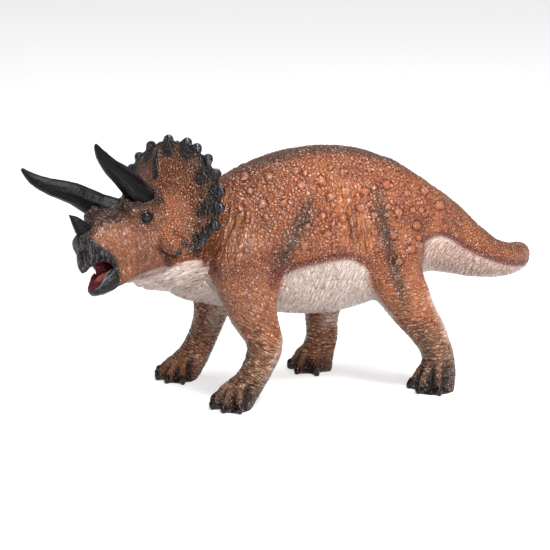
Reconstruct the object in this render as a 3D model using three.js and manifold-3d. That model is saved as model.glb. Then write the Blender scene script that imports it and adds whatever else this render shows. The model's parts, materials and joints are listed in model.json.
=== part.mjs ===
// A collector's figure of a horned dinosaur, 1:40 scale, in hand-painted solid vinyl.
// It is moulded in eleven pieces that plug into each other and are glued for good: torso, tail, four legs,
// head with its neck frill, lower jaw, two brow horns and a nose horn. Nothing on it moves.
// Millimetres. +Z is up, the snout points to -X, the animal's left side is -Y and the soles are at Z = 0.

import * as THREE from 'three';
import { mergeVertices } from 'three/addons/utils/BufferGeometryUtils.js';
import Module from 'manifold-3d';

// The whole animal. Places on it are shares of these three.
const figureLength = 200;
const figureHeight = 100;
const bodyWidth = 50;

// The skull without its frill. Places on the head are shares of these three.
const skullLength = 50;
const skullWidth = 36;
const skullDepth = 40;

// How the head is carried, in degrees: turned to the animal's left, with the left cheek raised.
const headTurn = { roll: -18.8, pitch: 0.7, yaw: 28.8 };

// Neck frill: an oval shield that leans back, with its sides swept back and knobs along its edge.
const frill = { halfWidth: 29.5, halfHeight: 27.2, halfThickness: 2.4, lean: 17, sweep: 4.4 };
const knob = { radius: 2.2, span: 116 };

const browHorn = { radius: 5.2, spacing: 24 };
const noseHorn = { radius: 3.4 };
const eye = { radius: 2, lid: 0.9 };
const nostril = { radius: 1.2 };

const forelegGirth = 20;
const hindlegGirth = 22;
const toe = { radius: 2.5, reach: 10, fan: 78 };

// Glued joints: the gap between glued faces, and the round plugs.
const glueGap = 0.3;
const neckPlug = { radius: 8, length: 9 };
const tailPlug = { radius: 5, length: 7 };
const legPlug = { radius: 4.6, length: 7 };
const jawPin = { radius: 1.5, length: 4.5, spacing: 6.4 };

// Helper lengths: how far a cutting block runs past what it cuts, and what counts as the same point.
const overrun = 60;
const weld = 0.0001;

const wasm = await Module();
wasm.setup();

const up = new THREE.Vector3(0, 0, 1);
const forward = new THREE.Vector3(-1, 0, 0);
const upright = new THREE.Quaternion();
const unturned = new THREE.Vector3(0, 1, 0);
const unscaled = new THREE.Vector3(1, 1, 1);

// A geometry as a solid for joining and cutting, and a solid back as a geometry for a mesh.
function solidOf(geometry, matrix = new THREE.Matrix4()) {
  const bare = geometry.clone().applyMatrix4(matrix);
  bare.deleteAttribute('normal');
  bare.deleteAttribute('uv');
  const merged = mergeVertices(bare, weld);
  return new wasm.Manifold(new wasm.Mesh({
    numProp: 3,
    vertProperties: merged.attributes.position.array,
    triVerts: new Uint32Array(merged.index.array),
  }));
}

function geometryOf(solid) {
  const mesh = solid.getMesh();
  const geometry = new THREE.BufferGeometry();
  geometry.setAttribute('position', new THREE.BufferAttribute(new Float32Array(mesh.vertProperties), 3));
  geometry.setIndex(new THREE.BufferAttribute(new Uint32Array(mesh.triVerts), 1));
  return geometry;
}

// A closed skin. Each point of a unit sphere's grid moves to place(share from end to end, angle round).
function skin(steps, sides, place) {
  const geometry = new THREE.SphereGeometry(1, sides, steps);
  const points = geometry.attributes.position;
  for (let row = 0; row <= steps; row += 1) {
    for (let column = 0; column <= sides; column += 1) {
      const angle = ((column % sides) / sides) * 2 * Math.PI;
      const point = place(row / steps, angle);
      points.setXYZ(row * (sides + 1) + column, point.x, point.y, point.z);
    }
  }
  return geometry;
}

// An oval's sine or cosine, made fuller at the corners as the squareness rises above 2.
const fuller = (value, squareness) => Math.sign(value) * Math.abs(value) ** (2 / squareness);

// A body form through oval stations. Each station has a centre and three half sizes: across, above
// towards "top", and below away from it. The form ends flat at its first and last station. Its skin
// may swell outwards by a rise that depends on the place.
const noSwell = () => 0;
function loft({ stations, steps, sides, top = up, squareness = 2, clearance = 0, swell = noSwell }) {
  const path = new THREE.CatmullRomCurve3(stations.map((station) => station.centre), false, 'catmullrom');
  const girths = new THREE.CatmullRomCurve3(stations.map((station) => station.half), false, 'catmullrom');
  return solidOf(skin(steps, sides, (share, angle) => {
    const ring = THREE.MathUtils.clamp((share * steps - 1) / (steps - 2), 0, 1);
    const centre = path.getPoint(ring);
    const along = path.getTangent(ring);
    const end = Math.sign(Math.round(2 * ring - 1));
    if (ring === 0 || ring === 1) centre.addScaledVector(along, end * clearance);
    if (share === 0 || share === 1) return centre;
    const girth = girths.getPoint(ring);
    const side = along.clone().cross(top).normalize();
    const rise = side.clone().cross(along);
    const height = Math.sin(angle) > 0 ? girth.y : girth.z;
    const spoke = new THREE.Vector3()
      .addScaledVector(side, (girth.x + clearance) * fuller(Math.cos(angle), squareness))
      .addScaledVector(rise, (height + clearance) * fuller(Math.sin(angle), squareness));
    const spot = centre.clone().add(spoke);
    return spot.addScaledVector(spoke.normalize(), swell(spot));
  }));
}

// All of space, as far as the part goes, on the side of a plane that its direction points to.
function beyond(seat, direction, shift = 0) {
  const size = 2 * (figureLength + overrun);
  const block = new THREE.BoxGeometry(size, size, size);
  const turn = new THREE.Quaternion().setFromUnitVectors(up, direction);
  const middle = seat.clone().addScaledVector(direction, shift + size / 2);
  return solidOf(block, new THREE.Matrix4().compose(middle, turn, unscaled));
}

// A round plug with a slight draft. It is rooted in its own piece and stands out of the seat.
// With a clearance it is the socket for that plug.
const draftShare = 0.93;
function plug({ radius, length }, seat, direction, clearance = 0, frame = new THREE.Matrix4()) {
  const total = 2 * length + clearance;
  const body = new THREE.CylinderGeometry(radius * draftShare + clearance, radius + clearance, total, 14);
  const turn = new THREE.Quaternion().setFromUnitVectors(unturned, direction);
  const middle = seat.clone().addScaledVector(direction, clearance / 2);
  return solidOf(body, new THREE.Matrix4().compose(middle, turn, unscaled).premultiply(frame));
}

// A place on the body, from its shares of length, width and height.
const place = ([back, side, height]) => new THREE.Vector3(
  back * figureLength, side * bodyWidth, height * figureHeight);

// A place on the head. The head's frame lies midway between the roots of the brow horns.
const headAt = ([back, side, height]) => new THREE.Vector3(
  back * skullLength, side * skullWidth, height * skullDepth);

const headPlace = place([-0.298, -0.044, 0.766]);
const headEuler = new THREE.Euler(
  THREE.MathUtils.degToRad(headTurn.roll),
  THREE.MathUtils.degToRad(headTurn.pitch),
  THREE.MathUtils.degToRad(headTurn.yaw),
  'ZYX');
const headPose = new THREE.Quaternion().setFromEuler(headEuler);
const headFrame = new THREE.Matrix4().compose(headPlace, headPose, unscaled);

// Face, from just behind the neck's seat to the snout. The second row is the seat. Rows: back, side
// and height of the centre, half width, depth above it and depth below it, as shares of the skull.
const faceShares = [
  [0.47, 0, -0.36, 0.49, 0.42, 0.57],
  [0.43, 0, -0.36, 0.5, 0.42, 0.57],
  [0.3, 0, -0.37, 0.53, 0.42, 0.53],
  [0.14, 0, -0.32, 0.48, 0.32, 0.48],
  [0, 0, -0.3, 0.42, 0.3, 0.44],
  [-0.11, 0, -0.3, 0.35, 0.28, 0.44],
  [-0.22, 0, -0.32, 0.28, 0.25, 0.43],
  [-0.3, 0, -0.34, 0.24, 0.23, 0.34],
  [-0.38, 0, -0.35, 0.2, 0.21, 0.185],
  [-0.45, 0, -0.365, 0.16, 0.17, 0.15],
  [-0.495, 0, -0.4, 0.1, 0.11, 0.12],
];
const onSkull = (rows) => rows.map((row) => ({
  centre: headAt(row),
  half: new THREE.Vector3(row[3] * skullWidth, row[4] * skullDepth, row[5] * skullDepth),
}));

// Torso and tail are one form from the neck to the tail's tip, cut in two behind the hips. The neck
// starts inside the skull with the section of the skull's rear. Rows as for the face, as shares of the body.
const trunkShares = [
  [-0.15, 0.124, 0.605, 0.4, 0.175, 0.25],
  [-0.1, 0.1, 0.6, 0.45, 0.214, 0.27],
  [-0.04, 0.04, 0.61, 0.5, 0.268, 0.3],
  [0.03, 0.01, 0.62, 0.54, 0.305, 0.33],
  [0.1, 0, 0.625, 0.56, 0.312, 0.335],
  [0.17, 0, 0.615, 0.54, 0.298, 0.305],
  [0.23, 0, 0.605, 0.46, 0.262, 0.255],
  [0.28, 0, 0.595, 0.36, 0.204, 0.2],
  [0.33, 0, 0.572, 0.26, 0.148, 0.158],
  [0.385, 0.01, 0.517, 0.21, 0.104, 0.128],
  [0.44, 0.04, 0.46, 0.18, 0.079, 0.09],
  [0.487, 0.12, 0.431, 0.145, 0.066, 0.066],
  [0.525, 0.26, 0.423, 0.115, 0.055, 0.056],
  [0.55, 0.44, 0.415, 0.09, 0.044, 0.042],
  [0.561, 0.62, 0.408, 0.05, 0.026, 0.024],
  [0.564, 0.7, 0.405, 0.016, 0.008, 0.008],
];
const neckRow = onSkull(faceShares)[1];
const neckSeat = neckRow.centre;
const neckLeadShare = 0.2;
const neckFitShare = 0.97;
const neckStations = [-neckLeadShare * skullLength, 0].map((shift) => ({
  centre: neckSeat.clone().setX(neckSeat.x + shift).applyMatrix4(headFrame),
  half: neckRow.half.clone().multiplyScalar(neckFitShare),
}));
const trunkStations = neckStations.concat(trunkShares.map((row) => ({
  centre: place(row),
  half: new THREE.Vector3(row[3] * bodyWidth, row[4] * figureHeight, row[5] * figureHeight),
})));

// Muscles and hollows that both flanks show. Rows: back and height of a muscle's upper end and of its
// lower end, as shares of length and height, then its reach and rise as shares of the body's width.
const muscleShares = [
  [-0.14, 0.66, -0.155, 0.5, 0.08, -0.018],
  [-0.08, 0.74, -0.07, 0.48, 0.16, 0.03],
  [0.025, 0.76, -0.005, 0.5, 0.09, -0.03],
  [0.075, 0.68, 0.07, 0.56, 0.18, 0.014],
  [0.118, 0.82, 0.138, 0.5, 0.09, -0.028],
  [0.21, 0.74, 0.215, 0.48, 0.15, 0.03],
  [0.285, 0.7, 0.248, 0.46, 0.08, -0.028],
];
function muscle(spot) {
  const flank = spot.clone().setY(0);
  let rise = 0;
  for (const [backHigh, high, backLow, low, reach, height] of muscleShares) {
    const line = new THREE.Line3(place([backHigh, 0, high]), place([backLow, 0, low]));
    const nearest = line.closestPointToPoint(flank, true, new THREE.Vector3());
    const away = nearest.distanceTo(flank) / (reach * bodyWidth);
    rise += height * bodyWidth * Math.exp(-away * away);
  }
  return rise;
}
const trunk = loft({ stations: trunkStations, steps: 40, sides: 24, squareness: 2.15, swell: muscle });

const neckOut = forward.clone().transformDirection(headFrame);
const neckSeatOnBody = neckSeat.clone().applyMatrix4(headFrame);
const tailSeat = place([0.325, 0, 0.58]);
const tailOut = new THREE.Vector3(0.95, 0, -0.31).normalize();
const tailIn = tailOut.clone().negate();

const tail = trunk
  .intersect(beyond(tailSeat, tailOut, glueGap))
  .add(plug(tailPlug, tailSeat, tailIn));

// Legs. Rows: centre as shares of length, width and height, then half sizes across the leg and along
// the body as shares of the leg's girth. The last row lies under the sole, where the leg is cut off.
const leftForelegShares = [
  [-0.07, -0.2, 0.7, 0.34, 0.46],
  [-0.08, -0.34, 0.58, 0.46, 0.66],
  [-0.085, -0.42, 0.46, 0.46, 0.63],
  [-0.08, -0.475, 0.37, 0.42, 0.48],
  [-0.065, -0.5, 0.295, 0.37, 0.39],
  [-0.055, -0.5, 0.235, 0.35, 0.34],
  [-0.067, -0.49, 0.165, 0.33, 0.29],
  [-0.0855, -0.48, 0.095, 0.34, 0.265],
  [-0.111, -0.48, 0.04, 0.39, 0.335],
  [-0.123, -0.48, -0.01, 0.41, 0.36],
];
const rightForelegShares = [
  [-0.07, 0.2, 0.7, 0.34, 0.46],
  [-0.08, 0.34, 0.58, 0.46, 0.66],
  [-0.09, 0.42, 0.46, 0.46, 0.63],
  [-0.09, 0.46, 0.36, 0.42, 0.48],
  [-0.093, 0.46, 0.28, 0.37, 0.37],
  [-0.105, 0.46, 0.2, 0.35, 0.3],
  [-0.121, 0.45, 0.13, 0.34, 0.28],
  [-0.141, 0.44, 0.07, 0.35, 0.3],
  [-0.159, 0.44, 0.03, 0.38, 0.35],
  [-0.166, 0.44, -0.01, 0.4, 0.37],
];
const leftHindlegShares = [
  [0.22, -0.2, 0.71, 0.36, 0.42],
  [0.212, -0.31, 0.6, 0.48, 0.56],
  [0.2075, -0.39, 0.47, 0.48, 0.52],
  [0.229, -0.44, 0.37, 0.43, 0.43],
  [0.253, -0.465, 0.29, 0.36, 0.36],
  [0.279, -0.46, 0.215, 0.32, 0.31],
  [0.293, -0.45, 0.155, 0.3, 0.275],
  [0.296, -0.45, 0.09, 0.31, 0.3],
  [0.29, -0.45, 0.04, 0.36, 0.35],
  [0.2855, -0.45, -0.01, 0.38, 0.37],
];
const rightHindlegShares = [
  [0.22, 0.2, 0.71, 0.36, 0.42],
  [0.205, 0.31, 0.6, 0.48, 0.58],
  [0.185, 0.385, 0.47, 0.48, 0.56],
  [0.155, 0.42, 0.37, 0.43, 0.5],
  [0.135, 0.42, 0.29, 0.36, 0.39],
  [0.128, 0.4, 0.22, 0.32, 0.315],
  [0.129, 0.39, 0.155, 0.3, 0.285],
  [0.122, 0.38, 0.095, 0.3, 0.275],
  [0.11, 0.37, 0.04, 0.34, 0.34],
  [0.104, 0.37, -0.01, 0.38, 0.37],
];

// Each leg takes an oval disc of the flank with it. The disc's flat inner face is the leg's seat.
const foreleg = { girth: forelegGirth, toeCount: 5 };
const hindleg = { girth: hindlegGirth, toeCount: 4 };
const limbs = [
  { name: 'foreleg_left', side: -1, ...foreleg, rows: leftForelegShares, seatShares: [-0.08, -0.3, 0.57] },
  { name: 'foreleg_right', side: 1, ...foreleg, rows: rightForelegShares, seatShares: [-0.08, 0.3, 0.57] },
  { name: 'hindleg_left', side: -1, ...hindleg, rows: leftHindlegShares, seatShares: [0.213, -0.27, 0.58] },
  { name: 'hindleg_right', side: 1, ...hindleg, rows: rightHindlegShares, seatShares: [0.208, 0.27, 0.58] },
];
const discShares = [0.68, 0.74];

function legForm({ rows, girth }, clearance) {
  const stations = rows.map((row) => ({
    centre: place(row),
    half: new THREE.Vector3(row[3] * girth, row[4] * girth, row[4] * girth),
  }));
  return loft({ stations, steps: 17, sides: 14, top: forward, squareness: 2.1, clearance });
}

function flankDisc({ side, girth, seatShares }, clearance) {
  const middle = place(seatShares);
  middle.y += side * (overrun / 2 - clearance);
  const [alongShare, upShare] = discShares;
  const size = new THREE.Vector3(alongShare * girth + clearance, overrun, upShare * girth + clearance);
  const disc = new THREE.CylinderGeometry(1, 1, 1, 22);
  return solidOf(disc, new THREE.Matrix4().compose(middle, upright, size));
}

// Toes fan out round the front of the foot. Each is a blunt roll that runs down from the ankle and
// ends in a hoof-like nail. Rows: girth and height, as shares of the toe's radius, from the middle of
// the foot to the nail's tip.
const toeShares = [
  [0.75, 2.4],
  [1, 2],
  [1.02, 1.6],
  [0.88, 1.1],
  [1.02, 0.95],
  [0.9, 0.7],
  [0.42, 0.45],
];
function toes({ rows, toeCount }) {
  const middle = place(rows[rows.length - 2]);
  const all = [];
  for (let index = 0; index < toeCount; index += 1) {
    const turn = THREE.MathUtils.degToRad(toe.fan * ((2 * index) / (toeCount - 1) - 1));
    const out = new THREE.Vector3(-Math.cos(turn), -Math.sin(turn), 0);
    const stations = toeShares.map(([share, height], row) => ({
      centre: middle.clone()
        .addScaledVector(out, (toe.reach * row) / (toeShares.length - 1))
        .setZ(toe.radius * height),
      half: unscaled.clone().multiplyScalar(toe.radius * share),
    }));
    all.push(loft({ stations, steps: 8, sides: 7 }));
  }
  return all;
}

const ground = beyond(new THREE.Vector3(0, 0, 0), up);
let torso = trunk
  .intersect(beyond(tailSeat, tailIn))
  .subtract(plug(tailPlug, tailSeat, tailIn, glueGap))
  .intersect(beyond(neckSeatOnBody, neckOut.clone().negate(), glueGap));

const legs = limbs.map((limb) => {
  const seat = place(limb.seatShares);
  const outward = new THREE.Vector3(0, limb.side, 0);
  const inward = outward.clone().negate();
  torso = torso
    .subtract(legForm(limb, glueGap).intersect(beyond(seat, outward, -glueGap)))
    .subtract(flankDisc(limb, glueGap))
    .subtract(plug(legPlug, seat, inward, glueGap));
  let leg = legForm(limb, 0)
    .intersect(beyond(seat, outward))
    .add(flankDisc(limb, 0).intersect(trunk))
    .add(plug(legPlug, seat, inward));
  for (const one of toes(limb)) {
    leg = leg.add(one);
  }
  return { name: limb.name, seat, solid: leg.intersect(ground) };
});

// Hooked beak over the mouth.
const beakShares = [
  [-0.28, 0, -0.38, 0.16, 0.15, 0.15],
  [-0.4, 0, -0.4, 0.155, 0.1375, 0.13],
  [-0.48, 0, -0.46, 0.115, 0.094, 0.1],
  [-0.515, 0, -0.535, 0.06, 0.056, 0.0625],
  [-0.525, 0, -0.6, 0.018, 0.015, 0.02],
];

// Lower jaw, hung open. The part behind its seat is the chin, which belongs to the head.
const jawShares = [
  [-0.1, 0, -0.6, 0.22, 0.09, 0.13],
  [-0.24, 0, -0.635, 0.205, 0.1, 0.11],
  [-0.33, 0, -0.675, 0.18, 0.11, 0.105],
  [-0.4, 0, -0.715, 0.15, 0.075, 0.09],
  [-0.46, 0, -0.745, 0.105, 0.04, 0.06],
  [-0.5, 0, -0.75, 0.05, 0.018, 0.025],
];
const jawForm = (clearance) => loft({
  stations: onSkull(jawShares), steps: 10, sides: 14, squareness: 2.8, clearance,
});
const jawSeat = headAt([-0.33, 0, -0.665]);
const jawOut = new THREE.Vector3(-0.963, 0, -0.269).normalize();
const jawIn = jawOut.clone().negate();

// Inside of the mouth, cut from the beak above and the jaw below, and the tongue.
const mouthShares = [
  [-0.15, 0, -0.545, 0.07, 0.025, 0.02],
  [-0.26, 0, -0.55, 0.13, 0.055, 0.045],
  [-0.35, 0, -0.57, 0.138, 0.085, 0.09],
  [-0.42, 0, -0.61, 0.115, 0.12, 0.1],
  [-0.48, 0, -0.655, 0.07, 0.115, 0.075],
  [-0.56, 0, -0.67, 0.035, 0.07, 0.05],
];
const mouth = loft({ stations: onSkull(mouthShares), steps: 9, sides: 10, squareness: 2.5 });
const tongueShares = [
  [-0.26, 0, -0.6, 0.07, 0.03, 0.05],
  [-0.34, 0, -0.635, 0.085, 0.035, 0.06],
  [-0.4, 0, -0.675, 0.08, 0.028, 0.06],
  [-0.44, 0, -0.7, 0.045, 0.018, 0.04],
];
const tongue = loft({ stations: onSkull(tongueShares), steps: 6, sides: 8 });

// Frill. Its points are set by shares across and up the shield and a depth behind its middle surface.
const frillMiddle = headAt([0.34, 0, -0.13]);
const lean = THREE.MathUtils.degToRad(frill.lean);
const frillUp = new THREE.Vector3(Math.sin(lean), 0, Math.cos(lean));
const frillBack = new THREE.Vector3(Math.cos(lean), 0, -Math.sin(lean));
const across = new THREE.Vector3(0, 1, 0);
const onFrill = (side, rise, depth) => frillMiddle.clone()
  .addScaledVector(across, side * frill.halfWidth)
  .addScaledVector(frillUp, rise * frill.halfHeight)
  .addScaledVector(frillBack, depth + frill.sweep * side * side);

const rimSharpness = 0.55;
const shieldForm = (clearance, frame) => solidOf(skin(8, 32, (share, angle) => {
  const spread = Math.sin(share * Math.PI) ** rimSharpness;
  const depth = -(frill.halfThickness + clearance) * Math.cos(share * Math.PI);
  return onFrill(spread * Math.sin(angle), spread * Math.cos(angle), depth);
}), frame);
torso = torso
  .subtract(shieldForm(glueGap, headFrame))
  .add(plug(neckPlug, neckSeat, forward, 0, headFrame));

// The knobs stand a little unevenly, as shares of their span to either side of the frill's top.
const knobShares = [
  -0.97, -0.85, -0.73, -0.6, -0.47, -0.35, -0.25, -0.08,
  0.095, 0.237, 0.353, 0.466, 0.603, 0.724, 0.836, 0.966,
];
let shield = shieldForm(0);
for (const share of knobShares) {
  const angle = THREE.MathUtils.degToRad(share * knob.span);
  const middle = onFrill(Math.sin(angle), Math.cos(angle), 0);
  const ball = new THREE.SphereGeometry(knob.radius, 7, 5);
  shield = shield.add(solidOf(ball, new THREE.Matrix4().setPosition(middle)));
}
const frillHemShares = [0, 0, -0.6];
shield = shield.intersect(beyond(headAt(frillHemShares), up));

// A low keel up the middle of the frill.
const keelShares = [0.1, 0.35, 0.6, 0.85];
const keelGirthShare = 0.5;
const keel = loft({
  stations: keelShares.map((rise) => ({
    centre: onFrill(0, rise, -frill.halfThickness * (1 - rise * keelGirthShare)),
    half: unscaled.clone().multiplyScalar(frill.halfThickness * keelGirthShare),
  })),
  steps: 6, sides: 8, top: forward,
});

// Cheek horns. Rows: back, outwards and height as shares of the skull, then girth as a share of a
// brow horn's.
const cheekShares = [
  [0.02, 0.3, -0.4, 0.8],
  [0.06, 0.42, -0.49, 0.66],
  [0.09, 0.49, -0.55, 0.42],
  [0.1, 0.52, -0.58, 0.2],
];

// Brow bosses round the roots of the horns, eyes and nostrils: back, outwards and height as shares of
// the skull, and a boss's three half sizes.
const bossShares = [-0.01, 0.31, -0.05];
const bossSizeShares = [0.2, 0.15, 0.17];
const eyeShares = [-0.054, 0.362, -0.185];
const eyeOutShares = [-0.25, 1, 0.1];
const nostrilShares = [-0.425, 0.185, -0.3];
const onSide = (side, [back, out, height]) => [back, side * out, height];

// Brow horns and the nose horn. Rows: back, outwards and height as shares of the skull, then girth.
// The root below the skin is the horn's plug.
const hornShares = [
  [0.06, -0.1, -0.06, 1],
  [-0.045, 0, 0.03, 0.98],
  [-0.2, 0.08, 0.19, 0.8],
  [-0.36, 0.17, 0.3, 0.6],
  [-0.47, 0.24, 0.41, 0.4],
  [-0.53, 0.28, 0.525, 0.19],
];
const hornForm = (side, clearance) => loft({
  stations: hornShares.map(([back, out, height, girth]) => ({
    centre: headAt([back, side * out, height]).add(new THREE.Vector3(0, side * browHorn.spacing / 2, 0)),
    half: unscaled.clone().multiplyScalar(browHorn.radius * girth),
  })),
  steps: 12, sides: 12, clearance,
});
const noseShares = [
  [-0.4, 0, -0.3, 1],
  [-0.45, 0, -0.18, 0.95],
  [-0.5, 0, -0.09, 0.55],
  [-0.555, 0, -0.015, 0.15],
];
const noseSlimness = 0.8;
const noseForm = (clearance) => loft({
  stations: noseShares.map(([back, side, height, girth]) => ({
    centre: headAt([back, side, height]),
    half: new THREE.Vector3(noseSlimness, 1, 1).multiplyScalar(noseHorn.radius * girth),
  })),
  steps: 7, sides: 10, top: forward, clearance,
});

// The pins of the lower jaw, one on each side of its middle.
const jawPins = (clearance) => [-1, 1].map((side) => plug(
  jawPin, jawSeat.clone().setY(side * jawPin.spacing / 2), jawIn, clearance));

let head = loft({ stations: onSkull(faceShares), steps: 18, sides: 20, squareness: 2.3 })
  .intersect(beyond(neckSeat, forward))
  .add(loft({ stations: onSkull(beakShares), steps: 8, sides: 10 }))
  .add(jawForm(0).intersect(beyond(jawSeat, jawIn, glueGap)))
  .add(shield)
  .add(keel);

for (const side of [-1, 1]) {
  // Brow boss round the horn's root, the eye with its lids, the nostril and the cheek horn.
  const bossMiddle = headAt(onSide(side, bossShares));
  const boss = new THREE.SphereGeometry(1, 10, 8);
  const eyeMiddle = headAt(onSide(side, eyeShares));
  const eyeball = new THREE.SphereGeometry(eye.radius, 10, 7);
  const nostrilMiddle = headAt(onSide(side, nostrilShares));
  const nostrilPit = new THREE.SphereGeometry(nostril.radius, 8, 6);
  const eyeOut = new THREE.Vector3(...onSide(side, eyeOutShares)).normalize();
  const lidTurn = new THREE.Quaternion().setFromUnitVectors(up, eyeOut);
  const lids = new THREE.TorusGeometry(eye.radius + eye.lid / 2, eye.lid, 5, 10);
  head = head
    .add(solidOf(boss, new THREE.Matrix4().compose(bossMiddle, upright, headAt(bossSizeShares))))
    .add(solidOf(lids, new THREE.Matrix4().compose(eyeMiddle, lidTurn, unscaled)))
    .add(solidOf(eyeball, new THREE.Matrix4().setPosition(eyeMiddle)))
    .add(loft({
      stations: cheekShares.map(([back, out, height, girth]) => ({
        centre: headAt([back, side * out, height]),
        half: unscaled.clone().multiplyScalar(browHorn.radius * girth),
      })),
      steps: 6, sides: 10,
    }))
    .subtract(solidOf(nostrilPit, new THREE.Matrix4().setPosition(nostrilMiddle)))
    .subtract(hornForm(side, glueGap));
}
head = head
  .subtract(mouth)
  .subtract(jawForm(glueGap).intersect(beyond(jawSeat, jawOut, -glueGap)))
  .subtract(noseForm(glueGap))
  .subtract(plug(neckPlug, neckSeat, forward, glueGap));
let jaw = jawForm(0).intersect(beyond(jawSeat, jawOut)).subtract(mouth)
  .add(tongue.intersect(beyond(jawSeat, jawOut)));
for (const side of [0, 1]) {
  head = head.subtract(jawPins(glueGap)[side]);
  jaw = jaw.add(jawPins(0)[side]);
}

const figure = new THREE.Group();
const headGroup = new THREE.Group();
headGroup.position.copy(headPlace);
headGroup.rotation.copy(headEuler);
figure.add(headGroup);

// A piece as a mesh, with its own origin at its seat.
function add(group, name, solid, seat, color, roughness) {
  const geometry = geometryOf(solid).translate(-seat.x, -seat.y, -seat.z);
  const mesh = new THREE.Mesh(geometry, new THREE.MeshStandardMaterial({ color, roughness, metalness: 0 }));
  mesh.name = name;
  mesh.position.copy(seat);
  group.add(mesh);
}

add(figure, 'torso', torso, neckSeatOnBody, '#b5633a', 0.5);
add(figure, 'tail', tail, tailSeat, '#b5633a', 0.5);
for (const { name, seat, solid } of legs) {
  add(figure, name, solid, seat, '#a0603a', 0.5);
}
add(headGroup, 'head', head, neckSeat, '#b5633a', 0.5);
add(headGroup, 'lower_jaw', jaw, jawSeat, '#2b282c', 0.35);
add(headGroup, 'brow_horn_left', hornForm(-1, 0), headAt([0, -0.33, 0]), '#26242a', 0.35);
add(headGroup, 'brow_horn_right', hornForm(1, 0), headAt([0, 0.33, 0]), '#26242a', 0.35);
add(headGroup, 'nose_horn', noseForm(0), headAt([-0.45, 0, -0.18]), '#26242a', 0.35);

// The frame's origin is under the middle of the figure.
const box = new THREE.Box3().setFromObject(figure, true);
const middle = box.getCenter(new THREE.Vector3());
for (const piece of figure.children) {
  piece.position.x -= middle.x;
  piece.position.y -= middle.y;
}

export default figure;
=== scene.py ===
import json
import math

import bpy
import numpy as np
from mathutils import Euler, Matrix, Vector, noise
from mathutils.kdtree import KDTree

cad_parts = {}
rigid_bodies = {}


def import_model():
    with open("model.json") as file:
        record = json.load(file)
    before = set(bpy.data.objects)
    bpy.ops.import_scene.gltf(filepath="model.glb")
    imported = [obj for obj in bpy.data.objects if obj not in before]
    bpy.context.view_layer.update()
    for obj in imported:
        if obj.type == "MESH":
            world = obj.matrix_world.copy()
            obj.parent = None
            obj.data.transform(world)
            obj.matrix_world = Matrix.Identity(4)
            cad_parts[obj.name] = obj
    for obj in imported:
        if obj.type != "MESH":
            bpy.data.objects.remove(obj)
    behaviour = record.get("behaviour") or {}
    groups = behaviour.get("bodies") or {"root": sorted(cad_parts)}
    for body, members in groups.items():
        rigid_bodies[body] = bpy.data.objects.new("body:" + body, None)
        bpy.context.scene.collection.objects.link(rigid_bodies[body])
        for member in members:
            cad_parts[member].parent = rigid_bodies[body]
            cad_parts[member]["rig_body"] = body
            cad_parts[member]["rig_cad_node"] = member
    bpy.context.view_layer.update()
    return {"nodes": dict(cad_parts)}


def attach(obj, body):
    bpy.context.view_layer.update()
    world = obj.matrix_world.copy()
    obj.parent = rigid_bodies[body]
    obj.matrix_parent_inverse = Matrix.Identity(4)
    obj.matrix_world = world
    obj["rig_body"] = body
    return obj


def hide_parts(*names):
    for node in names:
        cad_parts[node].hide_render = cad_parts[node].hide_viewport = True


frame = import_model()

MM = 0.001


# Camera. The figure was photographed through a long lens about 0.9 m away, from its left side, a
# little in front of it and a little above.
view_turn = math.radians(-17)
view_rise = math.radians(13)
view_distance = 900 * MM
photo_width = 550
photo_px_per_mm = 2.6
sensor_width = 36
aim = Vector((-9.05, -1.03, 44.5)) * MM
towards_camera = Vector((
    math.sin(view_turn) * math.cos(view_rise),
    -math.cos(view_turn) * math.cos(view_rise),
    math.sin(view_rise)))
bpy.ops.object.camera_add(
    location=aim + towards_camera * view_distance,
    rotation=(-towards_camera).to_track_quat("-Z", "Y").to_euler())
camera = bpy.context.object
camera.data.sensor_width = sensor_width
camera.data.lens = sensor_width * photo_px_per_mm * view_distance / MM / photo_width
camera.data.clip_start = 0.05
camera.data.clip_end = 20
bpy.context.scene.camera = camera

photo_right = Vector((math.cos(view_turn), math.sin(view_turn), 0))
photo_up = towards_camera.cross(photo_right)


def in_photo(points):
    """Where points of the object, in metres, fall in the photograph, in its pixels."""
    offset = points - np.array(aim)
    nearer = view_distance / (view_distance - offset @ np.array(towards_camera))
    scale = photo_px_per_mm / MM * nearer
    across = photo_width / 2 + scale * (offset @ np.array(photo_right))
    down = photo_width / 2 - scale * (offset @ np.array(photo_up))
    return np.stack([across, down], axis=1)


# Studio. White paper runs under and behind the figure, which stands in a white room between four
# soft boxes: a key lamp above the camera, one low at the front, one overhead and one at the right.
def colour(code):
    """An sRGB hex colour as the linear values that Blender works in."""
    parts = [int(code[i:i + 2], 16) / 255 for i in (1, 3, 5)]
    return [p / 12.92 if p <= 0.04045 else ((p + 0.055) / 1.055) ** 2.4 for p in parts] + [1]


def add(tree, kind, inputs=None, **settings):
    """Adds a node with its settings and inputs. An input is a value, or a node to link, or a node
    and its output's name. Without a name that is its Fac, or else its first output."""
    node = tree.nodes.new("ShaderNode" + kind)
    for name, value in settings.items():
        if hasattr(node, name):
            setattr(node, name, value)
        else:
            socket = [s for s in node.inputs if s.enabled and s.name == name.replace("_", " ")][0]
            socket.default_value = value
    for into, source in (inputs or {}).items():
        enabled = [s for s in node.inputs if s.enabled]
        target = enabled[into] if isinstance(into, int) else [s for s in enabled if s.name == into][0]
        if isinstance(source, (int, float, list)):
            target.default_value = source
            continue
        other, wanted = source if isinstance(source, tuple) else (source, "Fac")
        outputs = [s for s in other.outputs if s.enabled]
        tree.links.new(([s for s in outputs if s.name == wanted] or outputs)[0], target)
    return node


def new_material(name):
    """An empty node material and its tree."""
    material = bpy.data.materials.new(name)
    material.use_nodes = True
    material.node_tree.nodes.clear()
    return material, material.node_tree


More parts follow.
